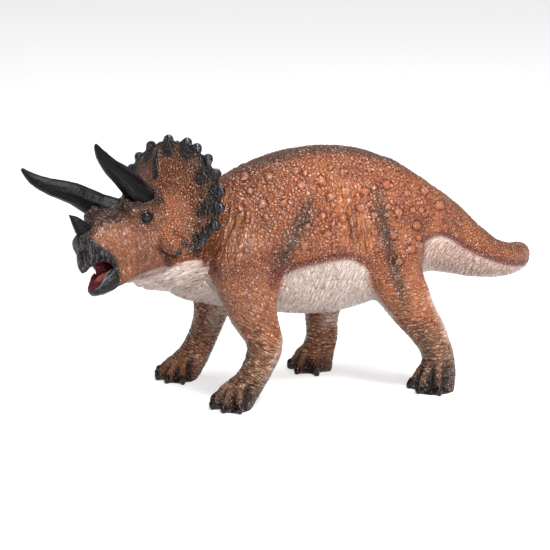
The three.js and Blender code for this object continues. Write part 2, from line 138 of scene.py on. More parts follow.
bpy.ops.object.select_all(action="DESELECT")
paper_side = 30
bpy.ops.mesh.primitive_plane_add(size=paper_side)
floor = bpy.context.object
floor.name = "paper_sweep"
paper, tree = new_material("white seamless paper")
matt = add(tree, "BsdfDiffuse", Color=colour("#c0c0c0"))
rays = add(tree, "LightPath")
seen = add(tree, "Math", {0: (rays, "Is Camera Ray"), 1: (rays, "Is Glossy Ray")}, operation="MAXIMUM")
seen = add(tree, "Math", {0: seen, 1: (rays, "Is Transmission Ray")}, operation="MAXIMUM")
glow = add(tree, "Emission", {"Strength": seen}, Color=colour("#cdcdcd"))
lit = add(tree, "AddShader", {0: matt, 1: glow})
add(tree, "OutputMaterial", {"Surface": lit})
floor.data.materials.append(paper)

room = bpy.data.worlds.new("white studio")
room.use_nodes = True
tree = room.node_tree
tree.nodes.clear()
rays = add(tree, "LightPath")
seen = add(tree, "Math", {0: (rays, "Is Camera Ray"), 1: (rays, "Is Transmission Ray")},
           operation="MAXIMUM")
shown = add(tree, "Background", Color=colour("#ffffff"), Strength=1.0)
fill = add(tree, "Background", Color=colour("#ffffff"), Strength=0.3)
both = add(tree, "MixShader", {0: seen, 1: fill, 2: shown})
add(tree, "OutputWorld", {"Surface": both})
bpy.context.scene.world = room
bpy.context.scene.view_settings.view_transform = "Standard"


# Each lamp's place and side in metres, and its power in watts.
soft_boxes = {
    "key_box": ((0.1, -0.65, 0.9), 0.2, 9.5),
    "front_box": ((0.05, -1.15, 0.42), 0.2, 4.5),
    "overhead_box": ((0.15, 0.1, 1.0), 0.4, 6),
    "right_box": ((0.65, -0.75, 0.45), 0.2, 2),
}
for name, (place, lamp_side, power) in soft_boxes.items():
    turn = (aim - Vector(place)).to_track_quat("-Z", "Y")
    bpy.ops.object.light_add(type="AREA", location=place, rotation=turn.to_euler())
    lamp = bpy.context.object
    lamp.name = name
    lamp.data.size = lamp_side
    lamp.data.energy = power


# Hide. Torso, tail and legs share one skin, which the toymaker sculpted whole in wax, cut at the
# glue lines and cast in solid vinyl. Here it is melted out of the solids, so that the glued faces close.
def hold(piece):
    """Selects one piece alone, so that an operator acts on it."""
    bpy.ops.object.select_all(action="DESELECT")
    piece.select_set(True)
    bpy.context.view_layer.objects.active = piece


def finish_modifier(piece, kind, **settings):
    """Adds a modifier to a piece and applies it."""
    modifier = piece.modifiers.new(kind.lower(), kind)
    for name, value in settings.items():
        setattr(modifier, name, value)
    hold(piece)
    bpy.ops.object.modifier_apply(modifier=modifier.name)


def largest_part(piece):
    """What is left of a held piece when its loose scraps are thrown away."""
    bpy.ops.object.mode_set(mode="EDIT")
    bpy.ops.mesh.select_all(action="SELECT")
    bpy.ops.mesh.separate(type="LOOSE")
    bpy.ops.object.mode_set(mode="OBJECT")
    parts = sorted(bpy.context.selected_objects, key=lambda part: len(part.data.vertices))
    for scrap in parts[:-1]:
        bpy.data.objects.remove(scrap)
    return parts[-1]


def copy_of(piece, name):
    """A second copy of a piece with its own mesh."""
    twin = piece.copy()
    twin.data = piece.data.copy()
    twin.name = name
    twin.hide_viewport = False
    twin.hide_render = False
    bpy.context.scene.collection.objects.link(twin)
    return twin


def melted(names, voxel, swell):
    """Copies of CAD pieces as one skin of even squares, with their glue gaps closed."""
    bpy.ops.object.select_all(action="DESELECT")
    for name in names:
        twin = copy_of(frame["nodes"][name], name + "_wax")
        twin.select_set(True)
        bpy.context.view_layer.objects.active = twin
    if len(names) > 1:
        bpy.ops.object.join()
    bpy.ops.object.mode_set(mode="EDIT")
    bpy.ops.mesh.select_all(action="SELECT")
    bpy.ops.mesh.remove_doubles(threshold=0.001 * MM)
    bpy.ops.object.mode_set(mode="OBJECT")
    whole = bpy.context.object
    whole.data.materials.clear()
    finish_modifier(whole, "DISPLACE", strength=swell, mid_level=0)
    finish_modifier(whole, "REMESH", mode="VOXEL", voxel_size=voxel)
    skin = largest_part(whole)
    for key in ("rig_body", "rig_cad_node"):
        if key in skin:
            del skin[key]
    skin.parent = None
    return skin


def read(items, field, width=3, kind=np.float32):
    """One field of all of a mesh's items, in rows of this width."""
    flat = np.empty(width * len(items), kind)
    items.foreach_get(field, flat)
    return flat.reshape(-1, width)


def points_of(piece):
    """A mesh's vertices as rows of x, y and z."""
    return read(piece.data.vertices, "co").astype(float)


def move_to(piece, points):
    """Puts a mesh's vertices at these places."""
    piece.data.vertices.foreach_set("co", points.astype(np.float32).ravel())
    piece.data.update()


def normals_of(piece):
    """The direction that a mesh's skin faces at each vertex."""
    return read(piece.data.vertex_normals, "vector").astype(float)


def relax(piece, passes, ease):
    """Draws each vertex to the middle of its neighbours, by its own ease from 0 to 1, in passes."""
    edges = read(piece.data.edges, "vertices", 2, np.int32)
    a, b = edges.T
    points = points_of(piece)
    count = np.bincount(edges.ravel(), minlength=len(points))[:, None]
    for _ in range(passes):
        total = np.stack([
            np.bincount(a, points[b, i], len(points)) + np.bincount(b, points[a, i], len(points))
            for i in range(3)], axis=1)
        points += 0.5 * ease[:, None] * (total / count - points)
    move_to(piece, points)


def fade(value, start, end):
    """0 before start, 1 after end, and a smooth rise between."""
    t = np.clip((value - start) / (end - start), 0, 1)
    return t * t * (3 - 2 * t)


leg_nodes = ["foreleg_left", "foreleg_right", "hindleg_left", "hindleg_right"]
hide_grid = 1.05 * MM
glue_swell = 0.3 * MM
hide = melted(["torso", "tail", *leg_nodes, "head"], hide_grid, glue_swell)
hide.name = "hide"
from_front, _, level = points_of(hide).T / MM
tail_tip = fade(from_front, 75, 95)
relax(hide, 26, (0.06 + 0.94 * fade(level, 9, 22)) * (1 - 0.7 * tail_tip))
finish_modifier(hide, "SUBSURF", levels=1, render_levels=1)

# The feet carry finer detail, so their squares are halved.
feet_height = 12 * MM
bpy.ops.object.mode_set(mode="EDIT")
bpy.ops.mesh.select_mode(type="FACE")
bpy.ops.mesh.select_all(action="DESELECT")
bpy.ops.object.mode_set(mode="OBJECT")
in_foot = read(hide.data.polygons, "center")[:, 2] < feet_height
hide.data.polygons.foreach_set("select", in_foot)
bpy.ops.object.mode_set(mode="EDIT")
bpy.ops.mesh.subdivide(number_cuts=1, smoothness=1)
bpy.ops.object.mode_set(mode="OBJECT")


def nearest_on(points, line):
    """The place on a line nearest to each point: how far off it is, how far along the line, the way
    from it to the point, and the line's heading there."""
    steps = np.array(line, float)
    off = np.full(len(points), 1e9)
    along = np.zeros(len(points))
    away, heading = np.zeros((2, *points.shape))
    gone = 0
    for a, b in zip(steps[:-1], steps[1:]):
        step = b - a
        share = np.clip(((points - a) @ step) / (step @ step), 0, 1)
        gap = points - a - share[:, None] * step
        distance = np.sqrt((gap ** 2).sum(1))
        closer = distance < off
        off[closer] = distance[closer]
        along[closer] = gone + share[closer] * np.linalg.norm(step)
        away[closer] = gap[closer]
        heading[closer] = step / np.linalg.norm(step)
        gone += np.linalg.norm(step)
    return off, along, away, heading


def length_of(line):
    """How long a line is."""
    return np.linalg.norm(np.diff(np.array(line, float), axis=0), axis=1).sum()


# The backbone seen from above, in mm. A place on the far side is drawn from the same sketch as its
# twin on the near side, so both flanks carry the same folds and paint.
backbone = [
    (-62, -5), (-47.6, 2.9), (-39, 5.2), (-29, 4), (-17, 1), (-3, -0.5), (11, -1), (47, -1), (68, -0.5),
    (79, 1), (88.4, 5), (96, 12), (101, 21), (103.2, 30), (104.5, 38)]


def to_near_side(points):
    """Points with the far flank folded over the backbone onto the near one, how far out they lie in
    mm, and which way out is."""
    _, _, away, heading = nearest_on(points[:, :2] / MM, backbone)
    side = heading[:, ::-1] * [-1, 1]
    out = (away * side).sum(1)
    folded = points.copy()
    folded[:, :2] -= 2 * MM * np.maximum(out, 0)[:, None] * side
    return folded, out, side


def rounded(line, times=2):
    """A line through photograph pixels with its corners cut."""
    steps = np.array(line, float)
    for _ in range(times):
        early = 0.75 * steps[:-1] + 0.25 * steps[1:]
        late = 0.25 * steps[:-1] + 0.75 * steps[1:]
        middle = np.stack([early, late], axis=1).reshape(-1, 2)
        steps = np.concatenate([steps[:1], middle, steps[-1:]])
    return steps


def stroke(page, line, width, taper=0.5):
    """A sculptor's or painter's stroke along photograph pixels: 1 on its line, gone at about twice
    its width."""
    line = rounded(line)
    reach = 3 * width
    low, high = line.min(0) - reach, line.max(0) + reach
    near = np.flatnonzero(((page > low) & (page < high)).all(1))
    made = np.zeros(len(page))
    if len(near):
        distance, along, _, _ = nearest_on(page[near], line)
        share = along / length_of(line)
        ends = np.clip(np.minimum(share, 1 - share) / 0.25, 0, 1) ** taper if taper else 1
        made[near] = np.exp(-(distance / width) ** 2) * ends
    return made


def strokes(page, lines):
    """The sum of several strokes, each a line, its width in pixels, its height and maybe its taper."""
    return sum(height * stroke(page, line, width, *taper) for line, width, height, *taper in lines)


def inside(page, outline, soft):
    """1 well inside an outline through photograph pixels and 0 well outside, over a soft edge."""
    edge = rounded(list(outline) + [outline[0]], 1)
    crossed = np.zeros(len(page), bool)
    for a, b in zip(edge[:-1], edge[1:]):
        if a[1] != b[1]:
            spans = (a[1] > page[:, 1]) != (b[1] > page[:, 1])
            crossed ^= spans & (page[:, 0] < a[0] + (page[:, 1] - a[1]) / (b[1] - a[1]) * (b[0] - a[0]))
    distance = nearest_on(page, edge)[0]
    return fade(np.where(crossed, distance, -distance), -soft, soft)


def rough(points, size, seed, stretch=(1, 1, 1)):
    """Smooth noise from -1 to 1 over points in metres, with lumps of this size in mm."""
    scaled = points / MM / size / np.array(stretch) + seed * 17.3
    return np.array([noise.noise(p) for p in scaled.tolist()])


skin = points_of(hide)
folded, out, side = to_near_side(skin)
page = in_photo(folded)
facing = normals_of(hide)
turned = facing.copy()
turned[:, :2] -= 2 * np.where(out > 0, (facing[:, :2] * side).sum(1), 0)[:, None] * side
seen = fade(turned @ np.array(towards_camera), -0.15, 0.3)


# The limbs' middle lines, from the hip or shoulder to the sole, in mm, with their half widths across
# and along the body.
limb_lines = {
    "foreleg_left": [
        (-25, -18, 58, 9.2, 13.2), (-26, -22, 46, 9.2, 12.6), (-25, -25, 37, 8.4, 9.6),
        (-22, -26, 29.5, 7.4, 7.8), (-20, -26, 23.5, 7, 6.8), (-21.8, -25.5, 16.5, 6.8, 6.2),
        (-25.9, -25, 9.5, 7, 6.2), (-31, -25, 3, 8, 7.2)],
    "foreleg_right": [
        (-25, 16, 58, 9.2, 13.2), (-27, 20, 46, 9.2, 12.6), (-27, 22, 36, 8.4, 9.6),
        (-27.7, 22, 28, 7.4, 7.4), (-30.3, 22, 20, 7, 6.2), (-33.9, 21.5, 13, 7, 6.2),
        (-37.9, 21, 7, 7.2, 6.6), (-40.9, 21, 3, 7.6, 7)],
    "hindleg_left": [
        (33.4, -16.5, 60, 10.5, 12.3), (32.5, -20.5, 47, 10.5, 11.4), (36.5, -23, 37, 9.5, 9.7),
        (41, -24.3, 29, 7.9, 8.1), (46, -24, 21.5, 7, 7), (49.3, -23.5, 15.5, 6.6, 6.4),
        (50.2, -23.5, 9, 6.8, 6.6), (49, -23.5, 3, 7.9, 7.7)],
    "hindleg_right": [
        (32, 14.5, 60, 10.5, 12.8), (28, 18.3, 47, 10.5, 12.3), (22, 20, 37, 9.5, 11),
        (18, 20, 29, 7.9, 8.6), (16.3, 19, 22, 7, 7), (16.3, 18.5, 15.5, 6.6, 6.6),
        (15.2, 18, 9.5, 6.6, 6.4), (13, 17.5, 3, 7.5, 7.5)],
}
mm = skin / MM
limb, outer, fore, along_limb = np.zeros((4, len(skin)))
for name, rows in limb_lines.items():
    rows = np.array(rows)[::-1]
    x, y, across, along = (np.interp(mm[:, 2], rows[:, 2], rows[:, i]) for i in (0, 1, 3, 4))
    sign = -1 if name.endswith("left") else 1
    to_side = sign * (mm[:, 1] - y) / across
    to_front = (x - mm[:, 0]) / along
    level = mm[:, 2]
    within = np.maximum(fade(1.2 - np.abs(to_front), 0, 0.2), 1 - fade(level, 26, 34))
    close = fade(1.45 - np.hypot(to_side, to_front * 0.85), 0, 0.3) * within * (level < 60)
    mine = close > limb
    limb[mine], outer[mine], fore[mine] = close[mine], to_side[mine], to_front[mine]
    shin = rows[3, :3] - rows[0, :3]
    along_limb[mine] = (mm @ (shin / np.linalg.norm(shin)))[mine]
low_limb = limb * (1 - fade(mm[:, 2], 44, 52))


# Relief of the hide. The sculptor pressed muscle, skin folds and wrinkles into the wax and set
# round scales, large and small, over the flanks. A fold is a line in photograph pixels, its width in
# pixels and its height in mm.
lift = np.zeros(len(skin))
off_limb = 1 - low_limb
frill_rolls = [
    ([(231, 199), (232, 212), (228, 226), (219, 241)], 1.6, 0.55),
    ([(235, 199), (236, 212), (231.5, 228), (221, 247)], 1.5, -0.5),
    ([(238, 200), (240, 213), (235, 230), (225, 250)], 1.6, 0.5),
    ([(242, 203), (244, 215), (239, 233), (229, 253)], 1.4, -0.4),
    ([(246, 206), (248, 218), (243, 236), (236, 252)], 1.5, 0.3),
    ([(228, 204), (227, 216), (222, 229), (215, 239)], 1.3, -0.45),
]
shoulder_folds = [
    ([(257, 246), (262, 257), (268, 268)], 1.3, -0.45),
    ([(262, 243), (267, 254), (272, 264)], 1.3, -0.4),
    ([(268, 238), (273, 249), (276, 258)], 1.3, -0.35),
]
thigh_folds = [
    ([(347, 190), (346, 208), (349, 230), (353, 246)], 1.5, -0.5),
    ([(351, 192), (350.5, 212), (353, 234), (357, 250)], 1.4, 0.4),
    ([(355, 190), (354, 212), (357, 234), (361, 252)], 1.3, -0.5),
    ([(359, 196), (358, 216), (361, 236), (366, 254)], 1.4, 0.35),
    ([(341, 205), (340, 222), (343, 240)], 1.3, -0.3),
    ([(335, 228), (336, 242), (340, 254)], 1.3, -0.3),
    ([(364, 232), (366, 250), (371, 268)], 1.4, -0.5),
    ([(376, 262), (384, 280), (392, 296)], 1.5, -0.3),
]
tail_root_folds = [
    ([(436, 210), (434, 222), (431, 236)], 1.5, -0.5),
    ([(441, 214), (440, 226), (437, 236)], 1.3, 0.35),
    ([(446, 216), (445, 227), (442, 238)], 1.3, -0.4),
]
throat_folds = [
    ([(196, 256), (200, 268), (207, 282)], 1.5, -0.5),
    ([(203, 252), (207, 265), (213, 280)], 1.5, 0.45),
    ([(209, 250), (213, 263), (219, 280)], 1.4, -0.4),
    ([(190, 262), (195, 274), (203, 288)], 1.5, 0.4),
]
fold_press = 1.5
folds = frill_rolls + shoulder_folds + thigh_folds + tail_root_folds + throat_folds
lift += fold_press * strokes(page, folds) * seen * off_limb
limb_folds = [
    ([(238, 326), (250, 333), (266, 334)], 1.5, -0.5),
    ([(240, 333), (252, 340), (268, 340)], 1.4, 0.35),
    ([(243, 341), (254, 347), (270, 345)], 1.4, -0.5),
    ([(246, 349), (262, 353), (280, 350)], 1.4, -0.35),
    ([(262, 300), (268, 318), (280, 334)], 2.2, -0.3),
    ([(410, 330), (420, 336), (432, 338)], 1.4, -0.35),
    ([(414, 338), (426, 344), (440, 344)], 1.4, -0.35),
    ([(452, 322), (448, 334), (452, 348)], 1.4, -0.3),
]
lift += fold_press * strokes(page, limb_folds) * seen * low_limb * (out < 0)


def along_and_across(flat, angle):
    """Page places along and across a direction, which is in degrees clockwise from the right."""
    c, s = math.cos(math.radians(angle)), math.sin(math.radians(angle))
    return flat @ [c, s], flat @ [-s, c]


def wrinkles(points, mask, size, seed, angle=0.0, flat=None):
    """Grooves from 0 to 1 that run in long thin lines, on page pixels or round the limbs."""
    made = np.zeros(len(points))
    some = np.flatnonzero(mask > 0.02)
    if flat is None:
        place = points[some] / MM
    else:
        page_mm = flat[some] / photo_px_per_mm
        place = np.stack([*along_and_across(page_mm, angle), 0.15 * points[some, 1] / MM], axis=1)
    sway = np.array([noise.noise(p) for p in (place / 7 + seed).tolist()])
    place = place / np.array(size) + 0.5 * sway[:, None] + 31.7 * seed
    value = np.array([noise.noise(p) for p in place.tolist()])
    made[some] = (1 - np.clip(np.abs(value) / 0.16, 0, 1)) ** 1.5
    return made * mask


def fold_field(flat, depth, zones):
    """Where each point lies in a pattern of fine wrinkles: along them, across them, and in depth."""
    field = np.zeros((len(flat), 3))
    most = np.full(len(flat), -1.0)
    for mask, angle, width in zones:
        along, across = along_and_across(flat, angle)
        made = np.stack([along / (3.6 * width), across / width, depth], axis=1)
        mine = mask > most
        field[mine], most[mine] = made[mine], mask[mine]
    return field


# Outlines, in photograph pixels, of the parts of trunk and tail that wrinkle.
belly_edge = [(272, 284), (292, 270), (316, 265), (353, 260), (364, 270), (378, 300), (340, 325),
              (262, 322)]
tail_edge = [(423, 243), (449, 239), (480, 258), (511, 268), (534, 264), (520, 290), (420, 290)]
throat_edge = [(180, 262), (203, 260), (214, 285), (250, 305), (240, 325), (150, 300)]
hip_edge = [(340, 180), (368, 186), (376, 262), (350, 260), (335, 230)]
neck_edge = [(226, 194), (250, 200), (256, 238), (243, 262), (210, 266), (214, 240)]
belly, tail_under, throat, near_hip, neck = (
    inside(page, edge, 3) * off_limb
    for edge in (belly_edge, tail_edge, throat_edge, hip_edge, neck_edge))
wrist = limb * (1 - fade(mm[:, 2], 28, 38)) * fade(mm[:, 2], 5, 10)
elbow = limb * fade(mm[:, 2], 22, 30) * (1 - fade(mm[:, 2], 44, 54))
creases = (
    0.8 * wrinkles(skin, belly, (3.6, 1.2, 3), 1, 118, page)
    + 0.8 * wrinkles(skin, tail_under, (3.4, 1.1, 3), 2, 122, page)
    + 1.0 * wrinkles(skin, throat, (6, 1.4, 4), 3, 48, page)
    + 0.6 * wrinkles(skin, near_hip, (8, 1.3, 4), 4, 84, page)
    + 0.9 * wrinkles(skin, wrist, (5, 5, 1.5), 5)
    + 0.5 * wrinkles(skin, elbow, (5, 5, 1.7), 6))
creases = np.clip(creases, 0, 1)
crease_depth = 0.36
lift -= crease_depth * creases * (1 + 0.9 * wrist)
fold = fold_field(page / photo_px_per_mm, 0.15 * mm[:, 1], [
    (np.full(len(skin), 0.01), 84, 1.3), (belly, 118, 1.0), (tail_under, 122, 0.9),
    (throat, 48, 1.2), (neck, 107, 1.2)])
on_shank = np.maximum(wrist, elbow) > 0.05
fold[on_shank] = np.stack([mm[:, 0] / 3.2, along_limb / 1.1, mm[:, 1] / 3.2], axis=1)[on_shank]

# Toes: five on a forefoot and four on a hind foot, each a ridge that ends in a blunt nail. The fan is
# in degrees to each side, the rest in mm.
toe_fan = 78
toe_width = 1.6
toe_rise = 2.2
toe_groove = 1.5
foot_radius = 15
nail_rise = 0.25
toe_ridge, nail, between_toes = np.zeros((3, len(skin)))
for name, rows in limb_lines.items():
    away = mm[:, :2] - rows[-1][:2]
    reach = np.hypot(*away.T)
    for turn in np.radians(np.linspace(-toe_fan, toe_fan, 5 if name.startswith("fore") else 4)):
        ahead = away @ [-math.cos(turn), -math.sin(turn)]
        aside = away @ [math.sin(turn), -math.cos(turn)]
        ridge = np.exp(-(aside / toe_width) ** 2) * fade(ahead, 2, 4) * (reach < foot_radius)
        toe_ridge = np.maximum(toe_ridge, ridge)
        nail = np.maximum(nail, fade(ridge, 0.35, 0.6) * fade(ahead, 8.3, 9.2))
    near_front = (reach < foot_radius) * fade(-away[:, 0], -5, -1) * fade(reach, 4.5, 7)
    zone = near_front * (1 - fade(mm[:, 2], 8, 15))
    lift += zone * (toe_rise * toe_ridge - toe_groove)
    between_toes = np.maximum(between_toes, zone * fade(-toe_ridge, -0.6, -0.05))
nail *= 1 - fade(mm[:, 2], 3.6, 5)
lift += nail_rise * nail

# Round scales: the big ones listed in photograph pixels, and smaller ones strewn between them.
big_scale_radius = 3.8
small_scale_radius = 2.5
big_scale_rise = 0.42
big_scale_groove = 0.3
smooth_skin = np.maximum.reduce([belly, tail_under, throat])
big_scales = [
    (250, 190), (244, 175), (283, 203), (345, 192), (365, 192), (323, 216), (344, 218), (374, 215),
    (328, 235), (399, 212), (262, 203), (301, 186), (322, 180), (343, 171), (386, 185), (408, 193),
    (418, 225), (308, 226), (356, 232), (392, 236), (268, 176), (296, 170), (360, 208), (304, 247),
    (240, 208), (412, 250), (399, 262), (425, 190), (440, 205), (330, 197)]
chance = np.random.default_rng(4)
small_scales = [p for p in chance.uniform((228, 156), (440, 256), (70, 2))
                if min(np.hypot(p[0] - x, p[1] - y) for x, y in big_scales) > 9]
boss, ring = np.zeros((2, len(skin)))
for spots, radius in ((big_scales, big_scale_radius), (small_scales, small_scale_radius)):
    for spot in spots:
        spot = np.array(spot) + chance.uniform(-0.8, 0.8, 2)
        size = radius * chance.uniform(0.85, 1.15)
        near = np.flatnonzero((np.abs(page - spot) < 2.2 * size).all(1) & (seen > 0.05))
        away = np.hypot(*(page[near] - spot).T) / size
        bare = (seen * off_limb * (1 - smooth_skin))[near]
        dome = np.clip(1 - away ** 2, 0, 1) * bare
        moat = np.exp(-((away - 1.2) / 0.35) ** 2) * bare
        boss[near] = np.maximum(boss[near], dome)
        ring[near] = np.maximum(ring[near], moat)
        lift[near] += radius / big_scale_radius * (big_scale_rise * dome - big_scale_groove * moat)

# Pebbles: the small scales that cover everything, nearly 2 mm apart and flatter where the skin wrinkles.
wrinkled = np.maximum.reduce([smooth_skin, 0.75 * neck, 0.45 * near_hip, 0.9 * wrist, 0.5 * elbow])


def pebbles(points, size):
    """How far each point is inside its pebble, from 0 in the groove to 1 on top."""
    made = np.empty(len(points))
    for index, p in enumerate((points / MM / size).tolist()):
        near = noise.voronoi(p)[0]
        made[index] = near[1] - near[0]
    return np.clip(made / 0.45, 0, 1)


hide_pebble = 1.9
hide_pebble_rise = 0.26
lump = 9
lump_rise = 0.35
pebble = pebbles(skin, hide_pebble)
lift += hide_pebble_rise * (pebble - 0.5) * (1 - 0.9 * wrinkled) * (1 - 0.6 * np.maximum(boss, creases))
lift += lump_rise * rough(skin, lump, 1) * fade(mm[:, 2], 4, 12)
lift *= fade(mm[:, 2], 0.05, 0.8)
move_to(hide, skin + MM * lift[:, None] * facing)


# Paint of the hide. Sprayed terracotta, a cream underside blended along a red-brown edge, dark
# sprayed bands, painted shade over the front, behind the frill and under the tail, then a dark wash
# with painted shade in the hollows and a pale dry brush with painted glints over the tops.
def keep(piece, **layers):
    """Stores shares from 0 to 1, or places in a pattern, for each vertex, which the paint reads."""
    for name, value in layers.items():
        value = np.asarray(value, np.float32)
        if value.ndim == 2:
            layer = piece.data.attributes.new(name, "FLOAT_VECTOR", "POINT")
            layer.data.foreach_set("vector", value.ravel())
        else:
            layer = piece.data.attributes.new(name, "FLOAT", "POINT")
            layer.data.foreach_set("value", np.clip(value, 0, 1))


# The edge of the underside's cream from chin to tail, and the sprayed strokes, in photograph pixels.
paint_edge = [
    (176, 262), (190, 258), (203, 262), (214, 282), (226, 296), (250, 300), (262, 290), (273, 281),
    (292, 267), (316, 262), (335, 257), (353, 256), (362, 261), (370, 274), (395, 264), (423, 242),
    (435, 233), (449, 235), (464, 246), (480, 254), (495, 260), (511, 264), (526, 264), (545, 256)]
below_edge = [(560, 256), (560, 480), (100, 480), (100, 262)]
calf_cream = [([(430, 287), (441, 305), (450, 326), (453, 345)], 7, 1.0)]
elbow_cream = [([(286, 328), (282, 346), (271, 368), (260, 392)], 4.5, 0.4)]
rust_edges = [(paint_edge[7:13], 4.6, 1.1, 0), (paint_edge[15:], 3.4, 1.1, 0),
              ([(203, 254), (207, 264), (210, 276)], 4, 0.8)]
rust_joints = [([(280, 258), (275, 270), (272, 282), (270, 296)], 4, 0.8),
               ([(366, 262), (374, 276), (382, 294)], 4, 0.6)]
dark_bands = {
    "behind the foreleg": (
        [(310, 192), (306, 212), (298, 230), (288, 250), (278, 270), (272, 288)], 10.5, 0.9),
    "down the thigh": (
        [(377, 176), (379, 200), (383, 222), (388, 245), (394, 266), (401, 288), (408, 318)], 7.5, 0.9),
    "on the rump": ([(428, 205), (426, 228), (423, 250), (421, 284)], 4, 0.4),
    "before the thigh": ([(352, 195), (351, 215), (354, 235), (358, 255)], 5, 0.4),
}
shin_streaks = [([(262, 336), (256, 352), (247, 372), (240, 392)], 4.5, 0.4),
                ([(412, 318), (424, 336), (432, 352), (432, 372)], 5, 0.6)]

underside = inside(page, paint_edge + below_edge, 2.5)
inner = fade(-0.75 * outer - 0.55 * fore, 0.05, 0.75)
leg_cream = low_limb * inner * fade(mm[:, 2], 12, 26)
outer_limb = limb * fade(outer, -0.5, 0.1) * (1 - fade(mm[:, 2], 56, 60))
outer_limb *= fade(1.15 - np.abs(fore), 0, 0.25)
near_limb = low_limb * (out < 0)
rear_cream = strokes(page, calf_cream + elbow_cream) * near_limb
cream = underside * (1 - np.maximum(low_limb, outer_limb)) * (1 - 0.4 * tail_under)
cream = np.maximum.reduce([cream, 0.6 * leg_cream, rear_cream])
rust = strokes(page, rust_edges) * off_limb + strokes(page, rust_joints)
# Dark sprayed stripes, with painted shade added behind the frill and along the tail's underside.
stripes_and_shade = strokes(page, dark_bands.values()) * seen * (1 - cream) + 0.3 * neck + 0.1 * tail_under
back = (1 - fade(np.abs(out), 5, 14)) * fade(facing[:, 2], 0.2, 0.65) * off_limb
back = np.maximum(back, 0.4 * (1 - fade(np.abs(out), 10, 25)) * fade(facing[:, 2], 0.1, 0.5) * off_limb)
back *= 0.6 + 0.4 * (1 - fade(np.abs(mm[:, 0] - 12), 20, 42))
near_hind = (mm[:, 0] > -5) & (mm[:, 1] < 0)
foot = limb * np.where(near_hind, 1, 0.75) * (1 - fade(mm[:, 2] + 2.5 * rough(skin, 5, 8), 5, 19))
# The far legs get weaker brown coats and no front shade: painted light where the body shades them.
foot = np.where(out > 0, limb * 0.45 * (1 - fade(mm[:, 2] + 1.5 * rough(skin, 4, 8), 2.5, 9)), foot)
foot *= 1 - 0.45 * toe_ridge * (1 - nail)
shank = limb * (1 - fade(mm[:, 2] + 3 * rough(skin, 6, 9), 17, 36))
shank = np.where(out > 0, 0.7 * shank, shank)
streak = strokes(page, shin_streaks) * near_limb
# Painted shade over the upper front of the body, towards the head.
dusk = 0.9 * fade(-page[:, 0], -300, -262) * fade(mm[:, 2], 24, 34)
keep(
    hide,
    own=np.ones(len(skin)),
    cream=cream,
    rust=rust * (1 - 0.8 * foot),
    band=np.maximum(stripes_and_shade, 0.85 * back),
    dusk=dusk * (1 - cream) * (1 - low_limb * (out > 0)),
    foot=foot,
    shank=np.maximum(shank - rear_cream, 0),
    # near-black streaks and nails, and painted shade between the toes
    soot=np.maximum.reduce([0.7 * streak * (1 - rear_cream), 0.8 * between_toes, 1.2 * nail]),
    hollow=np.maximum.reduce([0.6 * creases, 0.6 * ring, between_toes]),
    boss=boss,
    gloss=nail,
    pebble=np.maximum(pebble, wrinkled),
    smooth=wrinkled,
    fold=fold,
    coarse=fade(page[:, 1], 262, 225) * (1 - fade(page[:, 0], 425, 450)) * off_limb)


def coated(tree, specks, under, coat, name, breakup, low, high, strength=1.0):
    """A coat of paint over what is under it where a stored share says, with an edge that specks break."""
    share = add(tree, "Attribute", attribute_name=name)
    broken = add(tree, "Math", {0: specks, 1: breakup, 2: -breakup / 2}, operation="MULTIPLY_ADD")
    swung = add(tree, "Math", {0: broken, 1: share}, operation="ADD")
    cover = add(tree, "MapRange", {"Value": swung}, From_Min=low, From_Max=high, To_Max=strength)
    return add(tree, "Mix", {0: cover, 1: under, 2: coat}, data_type="RGBA")


# Hand-painted vinyl: satin enamel on soft plastic. Scales 1.35 mm across on the back and 1 mm
# elsewhere break up the light, and fine wrinkles take their place where the skin bends. A wash with
# painted shade is darkest between them, and a dry brush with painted glints pales their tops.
fine_scale = 1.0 * MM
coarse_scale = 1.35 * MM
cloud_size = 9 * MM
speck_size = 1.3 * MM
grit_size = 1.1 * MM
sway_size = 2.2 * MM
sway_reach = 1.1 * MM
scale_relief = 0.3 * MM
hide_vinyl, tree = new_material("hand-painted vinyl hide")
place = add(tree, "TexCoord")
sway = add(tree, "TexNoise", {"Vector": (place, "Object")}, Scale=1 / sway_size, Detail=1.0)
sway = add(tree, "VectorMath", {0: (sway, "Color")}, operation="SCALE", Scale=sway_reach)
spot = add(tree, "VectorMath", {0: (place, "Object"), 1: sway}, operation="ADD")
coarse = add(tree, "Attribute", attribute_name="coarse")
tops, rounds, cells = [], [], []
for size in (fine_scale, coarse_scale):
    edge = add(tree, "TexVoronoi", {"Vector": spot}, feature="DISTANCE_TO_EDGE", Scale=1 / size)
    cell = add(tree, "TexVoronoi", {"Vector": spot}, Scale=1 / size)
    tops.append(add(tree, "MapRange", {"Value": edge}, interpolation_type="SMOOTHSTEP", From_Max=0.4))
    rounds.append(add(tree, "Math", {0: cell, 1: cell}, operation="MULTIPLY"))
    cells.append((cell, "Color"))
dome = add(tree, "Mix", {0: coarse, 1: tops[0], 2: tops[1]})
fall = add(tree, "Mix", {0: coarse, 1: rounds[0], 2: rounds[1]})
luck = add(tree, "Mix", {0: coarse, 1: cells[0], 2: cells[1]}, data_type="RGBA")
luck = add(tree, "SeparateColor", {0: luck})
cloud = add(tree, "TexNoise", {"Vector": (place, "Object")},
            Scale=1 / cloud_size, Detail=4.0, Roughness=0.65)
speck = add(tree, "TexNoise", {"Vector": (place, "Object")},
            Scale=1 / speck_size, Detail=3.0, Roughness=0.7)

